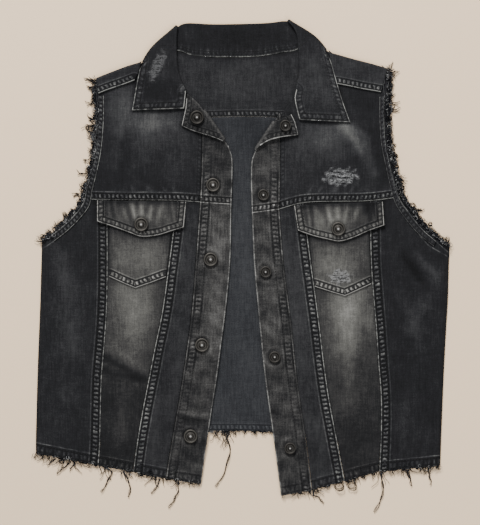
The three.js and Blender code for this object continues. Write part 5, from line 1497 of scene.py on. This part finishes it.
# Longer loose threads of three strands that wander about one line, then loops, wisps, tufts and edge yarns.
def build_loose_threads():
    rng = np.random.default_rng(22)
    steps = 22
    t = np.linspace(0, 1, steps)
    threads = []
    for row in THREADS:
        base = along(spline([[row[f"x{k}"], row[f"y{k}"]] for k in range(4)]))(t)
        high = 0.7 + (front_lift(*base[0]) if row["hem"] != "b" else 0)
        for strand in range(3):
            phase = rng.uniform(0, 6)
            sway = 0.6 * np.sin(t * 15 + phase + 2.1 * strand) + 1.1 * np.sin(t * 7 + phase) * t
            z = mix(high, 0.55 + 0.25 * strand, ease(t * 5)) + 0.12 * np.sin(t * 19 + phase)
            path = np.column_stack([base + normals(base) * sway[:, None], np.maximum(z, 0.35)])
            threads.append((path, 0.48, rng.uniform(0.1, 0.45)))
    for row in TANGLES:
        for strand in range(3):
            spin = rng.uniform(0, 2 * math.pi) + 2 * math.pi * row["turns"] * t
            radius = row["size"] * (0.7 + 0.3 * rng.random()) * (1 - 0.25 * t)
            x = row["x"] + radius * np.cos(spin) + rng.normal(0, 0.7)
            y = row["y"] + 0.85 * radius * np.sin(spin) + rng.normal(0, 0.7)
            z = 1.2 + 0.9 * strand + 0.5 * np.sin(spin)
            threads.append((np.column_stack([x, y, z]), 0.42, row["tone"]))
    for rows, thicker, lighter in ((WISPS, 0, 1), (TUFTS, 0.14, 0.3)):
        for row in rows:
            for strand in range(row["strands"]):
                heading = math.radians(row["lean"]) + rng.normal(0, 0.35) + rng.normal(0, 0.7) * t
                heading = heading + 0.25 * np.sin(9 * t + strand)
                advance = row["size"] * rng.uniform(0.45, 1.05) / (steps - 1)
                x = row["x"] + rng.normal(0, 1.4) + np.cumsum(np.sin(heading)) * advance
                y = row["y"] + 1.2 - np.cumsum(np.cos(heading)) * advance
                z = mix(1.4, 0.5 + 0.12 * strand, ease(t * 3)) + 0.15 * np.sin(8 * t + strand)
                radius = rng.uniform(0.3, 0.48) + thicker
                threads.append((np.column_stack([x, y, z]), radius, rng.uniform(0.15, 0.5) * lighter))
    for line, distance, tone in EDGE_YARNS:
        place = np.linspace(0, 1, steps * 6)
        base = along(shifted(spline(line), distance))(place)
        far = place * reaches(base)[-1]
        base[:, 0] += 0.8 * np.sin(far / 1.7 + 2 * np.sin(far / 6.3))
        z = front_lift(base[:, 0], base[:, 1]) + CLOTH + FELL + 0.5 + 0.2 * np.sin(far / 2.3)
        whole = np.column_stack([base, z])
        for k in range(0, len(whole), steps):
            threads.append((np.vstack([whole[max(0, k - 1)], whole[k + 1 : k + steps]]), 0.3, tone))
    return build_threads("loose_threads", threads)


# White weft threads where the cloth is worn through, ends that stand out of its border, and dark slits.
def build_worn_threads(tree):
    rng = np.random.default_rng(21)
    threads = []
    t = np.linspace(0, 1, 7)
    for row in BARE:
        for k in range(int(row["rx"] * row["ry"] * row["threads"] * row["amount"])):
            lying = k % 5 < 4
            turn, reach = rng.uniform(0, 2 * math.pi), math.sqrt(rng.random()) * (0.85 if lying else 1.1)
            dy = math.sin(turn) * reach * row["ry"]
            dx = math.cos(turn) * reach * row["rx"] + row["lean"] * dy
            size = rng.uniform(2.2, 7.5) if lying else rng.uniform(1.5, 4.5)
            heading = rng.normal(0, 0.13) if lying else rng.normal(math.pi / 2, 0.35)
            ahead, side = (t - 0.5) * size, rng.normal(0, 0.07) * size * np.sin(math.pi * t)
            side = side + rng.normal(0, 0.1) * np.sin(2.3 * math.pi * t)
            x = row["x"] + dx + ahead * math.cos(heading) - side * math.sin(heading)
            y = row["y"] + dy + ahead * math.sin(heading) + side * math.cos(heading)
            heights = [top_at(tree, a, b) for a, b in zip(x, y)]
            if None in heights:
                continue
            z = np.array(heights) + 0.1 + rng.uniform(0.05, 0.6) * np.sin(math.pi * t) ** 0.7
            radius, light = rng.uniform(0.09, 0.18), rng.uniform(0.35, 0.95)
            threads.append((np.column_stack([x, y, z]), radius, light * (0.3 + 0.7 * row["amount"])))
    for line in SLITS:
        slit = along(spline(line))(t)
        heights = np.array([top_at(tree, *place) for place in slit])
        threads.append((np.column_stack([slit, heights + 0.5]), 0.42, 0.0))
    return build_threads("worn_threads", threads)


# Linear colour from eight-bit values.
def linear(*values):
    return (*[((c / 255 + 0.055) / 1.055) ** 2.4 if c > 10 else c / 255 / 12.92 for c in values], 1)


# Short names for the shader nodes that the materials are made of.
class Graph:
    def __init__(self, tree):
        self.tree = tree

    def node(self, kind, **settings):
        node = self.tree.nodes.new(kind)
        for key, value in settings.items():
            setattr(node, key, value)
        return node

    # Links or sets the inputs of a node, and gives its first or named output.
    def fill(self, node, values, output=0):
        for name, value in values.items():
            if isinstance(value, bpy.types.NodeSocket):
                self.tree.links.new(value, node.inputs[name])
            else:
                node.inputs[name].default_value = value
        return node.outputs[output] if node.outputs else None

    def math(self, operation, *values):
        return self.fill(self.node("ShaderNodeMath", operation=operation), dict(enumerate(values)))

    def add(self, a, b):
        return self.math("ADD", a, b)

    def less(self, a, b):
        return self.math("SUBTRACT", a, b)

    def times(self, a, b):
        return self.math("MULTIPLY", a, b)

    # Soft step up from 0 at low to 1 at high, and the same step down.
    def step(self, value, low, high):
        node = self.node("ShaderNodeMapRange", interpolation_type="SMOOTHSTEP")
        return self.fill(node, {"Value": value, "From Min": low, "From Max": high})

    def fall(self, value, low, high):
        return self.less(1.0, self.step(value, low, high))

    def field(self, name, output="Fac"):
        return self.node("ShaderNodeAttribute", attribute_name=name).outputs[output]

    def place(self):
        return self.node("ShaderNodeTexCoord").outputs["Object"]

    def noise(self, place, scale, detail=2.0, roughness=0.5):
        values = {"Vector": place, "Scale": scale, "Detail": detail, "Roughness": roughness}
        return self.fill(self.node("ShaderNodeTexNoise"), values, "Fac")

    def stretched(self, place, scale):
        return self.fill(self.node("ShaderNodeMapping"), {"Vector": place, "Scale": scale})

    def ramp(self, value, stops):
        node = self.node("ShaderNodeValToRGB")
        elements = node.color_ramp.elements
        while len(elements) < len(stops):
            elements.new(0.5)
        for element, (position, colour) in zip(elements, stops):
            element.position = position
            element.color = linear(*colour)
        return self.fill(node, {"Fac": value}, "Color")

    def bump(self, height, strength, distance):
        values = {"Height": height, "Strength": strength, "Distance": distance}
        return self.fill(self.node("ShaderNodeBump"), values, "Normal")


# Light bars, dark rows and a worn border of one puckered seam band; the dark rows at the stitches and the
# dark gaps between bars are unworn dye with painted shade in the grooves and hollows.
def band_group():
    tree = bpy.data.node_groups.new("seam_band", "ShaderNodeTree")
    tree.interface.new_socket("Band", in_out="INPUT", socket_type="NodeSocketVector")
    tree.interface.new_socket("Noise", in_out="INPUT", socket_type="NodeSocketFloat")
    tree.interface.new_socket("Light", in_out="OUTPUT", socket_type="NodeSocketFloat")
    tree.interface.new_socket("Dark", in_out="OUTPUT", socket_type="NodeSocketFloat")
    g = Graph(tree)
    entry = g.node("NodeGroupInput")
    parts = g.node("ShaderNodeSeparateXYZ")
    g.fill(parts, {0: entry.outputs["Band"]})
    across, length, strength = parts.outputs
    noise = entry.outputs["Noise"]
    border = g.times(g.step(across, -0.4, 0.25), g.fall(across, 0.75, 1.35))
    border = g.times(border, g.add(0.45, g.times(g.step(noise, 0.36, 0.6), 0.55)))
    rows = [g.fall(g.math("ABSOLUTE", g.less(across, place)), 0.35, 1.15) for place in (1.85, 8.15)]
    window = g.times(g.step(across, 2.4, 3.4), g.fall(across, 6.6, 7.7))
    wobble = g.add(g.add(length, g.times(across, 0.18)), g.times(noise, 4.5))
    wave = g.math("COSINE", g.times(wobble, 2 * math.pi / LADDER))
    bars, gaps = g.step(wave, -0.35, 0.75), g.fall(wave, -0.95, 0.0)
    far = g.fall(g.math("ABSOLUTE", g.less(across, 10.0)), 0.2, 0.9)
    bright = g.math("MAXIMUM", 0.0, g.times(g.less(noise, 0.25), 1.2))
    light = g.add(g.times(border, 0.68), g.times(g.times(window, bars), bright))
    light = g.add(light, g.times(far, g.times(noise, 0.36)))
    # Dark: unworn dye with painted shade in the stitch grooves and between the bars.
    dark = g.add(g.times(g.math("MAXIMUM", *rows), 0.26), g.times(g.times(window, gaps), 0.2))
    g.fill(g.node("NodeGroupOutput"), {"Light": g.times(light, strength), "Dark": g.times(dark, strength)})
    return tree


def principled(name):
    material = bpy.data.materials.new(name)
    material.use_nodes = True
    tree = material.node_tree
    return material, Graph(tree), tree.nodes["Principled BSDF"]


# Washed denim: twill, slub, blotches, and wear, painted highlight and painted shade where a piece's own
# fields say so.
def denim_material(name, colours, mottle=1.0, grain=1.0):
    material, g, shader = principled(name)
    place = g.place()
    twill = g.node("ShaderNodeTexWave", wave_type="BANDS", bands_direction="DIAGONAL", wave_profile="SIN")
    weave = g.fill(twill, {"Vector": place, "Scale": 490.0, "Distortion": 0.6, "Detail": 1.0}, "Fac")
    speck = g.noise(place, 720.0, 3.0, 0.7)
    slub = g.noise(g.stretched(place, (1.0, 0.09, 1.0)), 620.0, 2.0, 0.6)
    weft = g.noise(g.stretched(place, (0.12, 1.0, 1.0)), 560.0, 2.0, 0.6)
    blotch = g.noise(place, 34.0, 3.0, 0.55)
    patchy = g.noise(place, 130.0, 3.0, 0.6)
    seam_noise = g.noise(place, 260.0, 2.0, 0.5)

    tone = g.field("tone")
    for value, amount in (
        (speck, 0.36 * grain), (slub, 0.26 * grain), (weft, 0.14 * grain),
        (blotch, 0.18 * mottle), (patchy, 0.2 * mottle), (weave, 0.05 * grain),
    ):
        tone = g.add(tone, g.times(g.less(value, 0.5), amount))
    for k in range(3):
        node = g.node("ShaderNodeGroup", node_tree=bpy.data.node_groups["seam_band"])
        g.fill(node, {"Band": g.field(f"band{k}", "Vector"), "Noise": seam_noise})
        tone = g.less(g.add(tone, node.outputs["Light"]), node.outputs["Dark"])
    worn = g.times(g.fall(g.field("edge"), 0.6, 1.9), g.add(0.4, g.times(g.step(patchy, 0.36, 0.6), 0.6)))
    tone = g.add(tone, g.times(worn, 0.55))

    bare = g.field("bare")
    lines = g.noise(g.stretched(place, (0.16, 1.0, 1.0)), 900.0, 2.0, 0.6)
    white = g.times(bare, g.step(g.add(g.times(lines, 0.7), g.times(speck, 0.8)), 0.62, 0.84))
    slits = g.times(bare, g.fall(lines, 0.36, 0.46))
    stops = list(zip((0.0, 0.22, 0.42, 0.66, 1.0), colours))
    colour = g.ramp(g.less(tone, g.times(slits, 0.25)), stops)
    blend = g.node("ShaderNodeMix", data_type="RGBA")
    g.fill(blend, {"Factor": white, "A": colour, "B": linear(150, 150, 150)})
    relief = g.add(g.times(weave, 0.5), g.add(g.times(speck, 0.5), g.times(slub, 0.4)))
    g.fill(shader, {
        "Base Color": blend.outputs["Result"], "Roughness": 0.93, "Specular IOR Level": 0.18,
        "Normal": g.bump(relief, 0.55, 0.0003),
    })
    return material


def thread_material():
    material, g, shader = principled("thread_black")
    colour = g.ramp(g.noise(g.place(), 1400.0, 1.0), [(0.3, (12, 12, 13)), (0.75, (34, 33, 33))])
    g.fill(shader, {"Base Color": colour, "Roughness": 0.75, "Specular IOR Level": 0.2})
    return material


def fray_material():
    material, g, shader = principled("fray_cotton")
    flecks = g.noise(g.place(), 300.0, 2.0)
    tone = g.add(g.field("tone"), g.times(g.less(flecks, 0.5), 0.5))
    stops = [(0.0, (14, 14, 17)), (0.4, (38, 39, 44)), (0.7, (104, 104, 104)), (1.0, (196, 196, 194))]
    g.fill(shader, {"Base Color": g.ramp(tone, stops), "Roughness": 0.95, "Specular IOR Level": 0.15})
    return material


def metal_material():
    material, g, shader = principled("gunmetal")
    place = g.place()
    tarnish = g.noise(place, 420.0, 3.0, 0.6)
    scratch = g.noise(g.stretched(place, (1.0, 0.2, 1.0)), 2200.0, 2.0)
    marks = g.add(g.times(tarnish, 0.5), g.times(g.less(scratch, 0.5), 0.3))
    # Base colour and roughness follow the painted shine: the brightest colour is the painted highlight in the
    # middle of a button.
    painted_shine = g.field("painted_shine")
    tone = g.add(painted_shine, g.times(g.less(marks, 0.25), 0.35))
    g.fill(shader, {
        "Base Color": g.ramp(tone, [(0.1, (31, 29, 27)), (0.4, (80, 77, 72)), (0.95, (220, 218, 214))]),
        "Metallic": 0.75,
        "Roughness": g.less(0.58, g.times(g.step(painted_shine, 0.6, 0.9), 0.4)),
        "Normal": g.bump(scratch, 0.15, 0.0001),
    })
    return material


band_group()
MATERIALS = {
    "denim": denim_material(
        "denim_washed_black", [(12, 12, 13), (28, 28, 30), (52, 52, 53), (87, 87, 85), (144, 144, 139)],
    ),
    "denim_faded": denim_material(
        "denim_faded_grey", [(12, 12, 13), (29, 29, 30), (54, 53, 52), (92, 91, 87), (148, 146, 141)], 1.2,
    ),
    "denim_worn": denim_material(
        "denim_worn_brown_grey", [(13, 13, 13), (29, 29, 30), (55, 54, 53), (87, 86, 84), (144, 143, 139)],
        0.85, 1.6,
    ),
    "denim_inside": denim_material(
        "denim_inside_blue_grey", [(18, 18, 20), (35, 36, 39), (59, 60, 62), (82, 83, 85), (126, 126, 126)],
        0.6,
    ),
    "fray": fray_material(),
    "metal": metal_material(),
}


def build_cloth():
    build_back_panel()
    build_back_yoke()
    neck = [row for row in COLLAR if row["turn"] == 180 and row["stand"]]
    neck_l = [row for row in neck if row["edgeX"] < 0][::-1]
    neck_r = [row for row in neck if row["edgeX"] > 0]
    shoulder = pick(BACK_YOKE, "topX", "topY") - [0, 2 * GAP]
    ends_l, ends_r = (pick(ends[1:4], "topX", "topY") for ends in (ENDS_L, ENDS_R))
    build_front_yoke("l", ARMHOLE_L[:7], neck_l, YOKE_FRONT_L, ends_l, shoulder[:7], 0.18)
    build_front_yoke("r", ARMHOLE_R[:7], neck_r, YOKE_FRONT_R, ends_r, shoulder[16:][::-1], 0.215)
    build_lower_front("l", LOWER_L, ENDS_L, ARMHOLE_L, (0.2, 0.185, 0.25))
    build_lower_front("r", LOWER_R, ENDS_R, ARMHOLE_R, (0.18, 0.225, 0.28))
    build_placket("l", LOWER_L, ENDS_L, YOKE_FRONT_L, LAPEL_L, 4, [[-15.2, 128], [-11.2, 115], [-11, 94.9]])
    build_placket("r", LOWER_R, ENDS_R, YOKE_FRONT_R, LAPEL_R, 0, [[15.6, 124], [11.2, 112], [10.3, 89.7]])
    build_pocket("l", POCKET_L, 59.8, (-152, -78.4))
    build_pocket("r", POCKET_R, 56.8, (73.8, 144.2))
    build_flap("l", FLAP_L)
    build_flap("r", FLAP_R)
    build_armhole_band("l", BAND_L, 0.75, 0.9)
    build_armhole_band("r", BAND_R, 0.38, 1.2)
    build_collar()


# Frayed raw edges: line, height under it, side it hangs to, fibres a millimetre, reach, seed and curls.
def build_fringes():
    hem_l, hem_r = pick(ENDS_L, "hemX", "hemY"), pick(ENDS_R, "hemX", "hemY")[::-1]
    middle = BACK_HEM[np.abs(BACK_HEM[:, 0]) < 30]
    ends = [[x, np.interp(x, *BACK_HEM.T)] for x in (-44, 48)]
    hem_back = np.vstack([ends[0], middle, ends[1]])

    def on_floor(x, y):
        return np.zeros(np.shape(x))

    fringes = {}
    for name, *look in (
        ("hem_l", hem_l, front_lift, 1, 4, 5.2, 11, 0.6),
        ("hem_r", hem_r, front_lift, 1, 4, 5.2, 12, 0.6),
        ("hem_back", hem_back, on_floor, 1, 3.5, 4.0, 13, 0.4),
        ("armhole_l", spline(ARMHOLE_L), front_lift, 1, 7, 12, 14, 2.2),
        ("armhole_r", spline(ARMHOLE_R), front_lift, -1, 7, 11.5, 15, 4.5),
    ):
        kind, side = name.split("_")
        fringes[name] = build_fray(f"fringe_{name}", f"{kind}_fringe_{side}", *look)
    return fringes


def build_stage():
    square = [[-3000, -3000, -0.3], [3000, -3000, -0.3], [3000, 3000, -0.3], [-3000, 3000, -0.3]]
    floor = make_object("floor", square, [[0, 1, 2, 3]], {})
    material, g, shader = principled("floor_plain")
    g.fill(shader, {"Base Color": linear(255, 226, 190), "Roughness": 0.95, "Specular IOR Level": 0.1})
    floor.data.materials.append(material)

    world = bpy.data.worlds.new("studio")
    world.use_nodes = True
    background = world.node_tree.nodes["Background"]
    background.inputs["Color"].default_value = linear(236, 238, 242)
    background.inputs["Strength"].default_value = 0.52
    bpy.context.scene.world = world
    for name, place, size, energy in (
        ("key", (-0.7, 3.0, 1.75), 0.9, 222),
        ("fill", (0.9, -1.3, 1.9), 1.6, 25),
    ):
        light = bpy.data.lights.new(name, "AREA")
        light.size = size
        light.energy = energy
        lamp = linked(name, light)
        lamp.location = place
        lamp.rotation_euler = (-Vector(place)).to_track_quat("-Z", "Y").to_euler()


# Straight down, as far away as the picture's framing needs: 480 by 525 pixels of 1.15 mm.
def build_camera():
    distance, width = 3.0, 0.552
    data = bpy.data.cameras.new("camera")
    data.sensor_fit = "HORIZONTAL"
    data.sensor_width = 36
    data.lens = 36 * distance / width
    camera = linked("camera", data)
    camera.location = (-0.0023, -0.0052, distance)
    bpy.context.scene.camera = camera


build_camera()
build_stage()
build_cloth()
for button in BUTTONS:
    build_button(**button)
fringes = build_fringes()
tree = cloth_tree()
build_stitches(tree)
worn_threads = build_worn_threads(tree)
loose_threads = build_loose_threads()
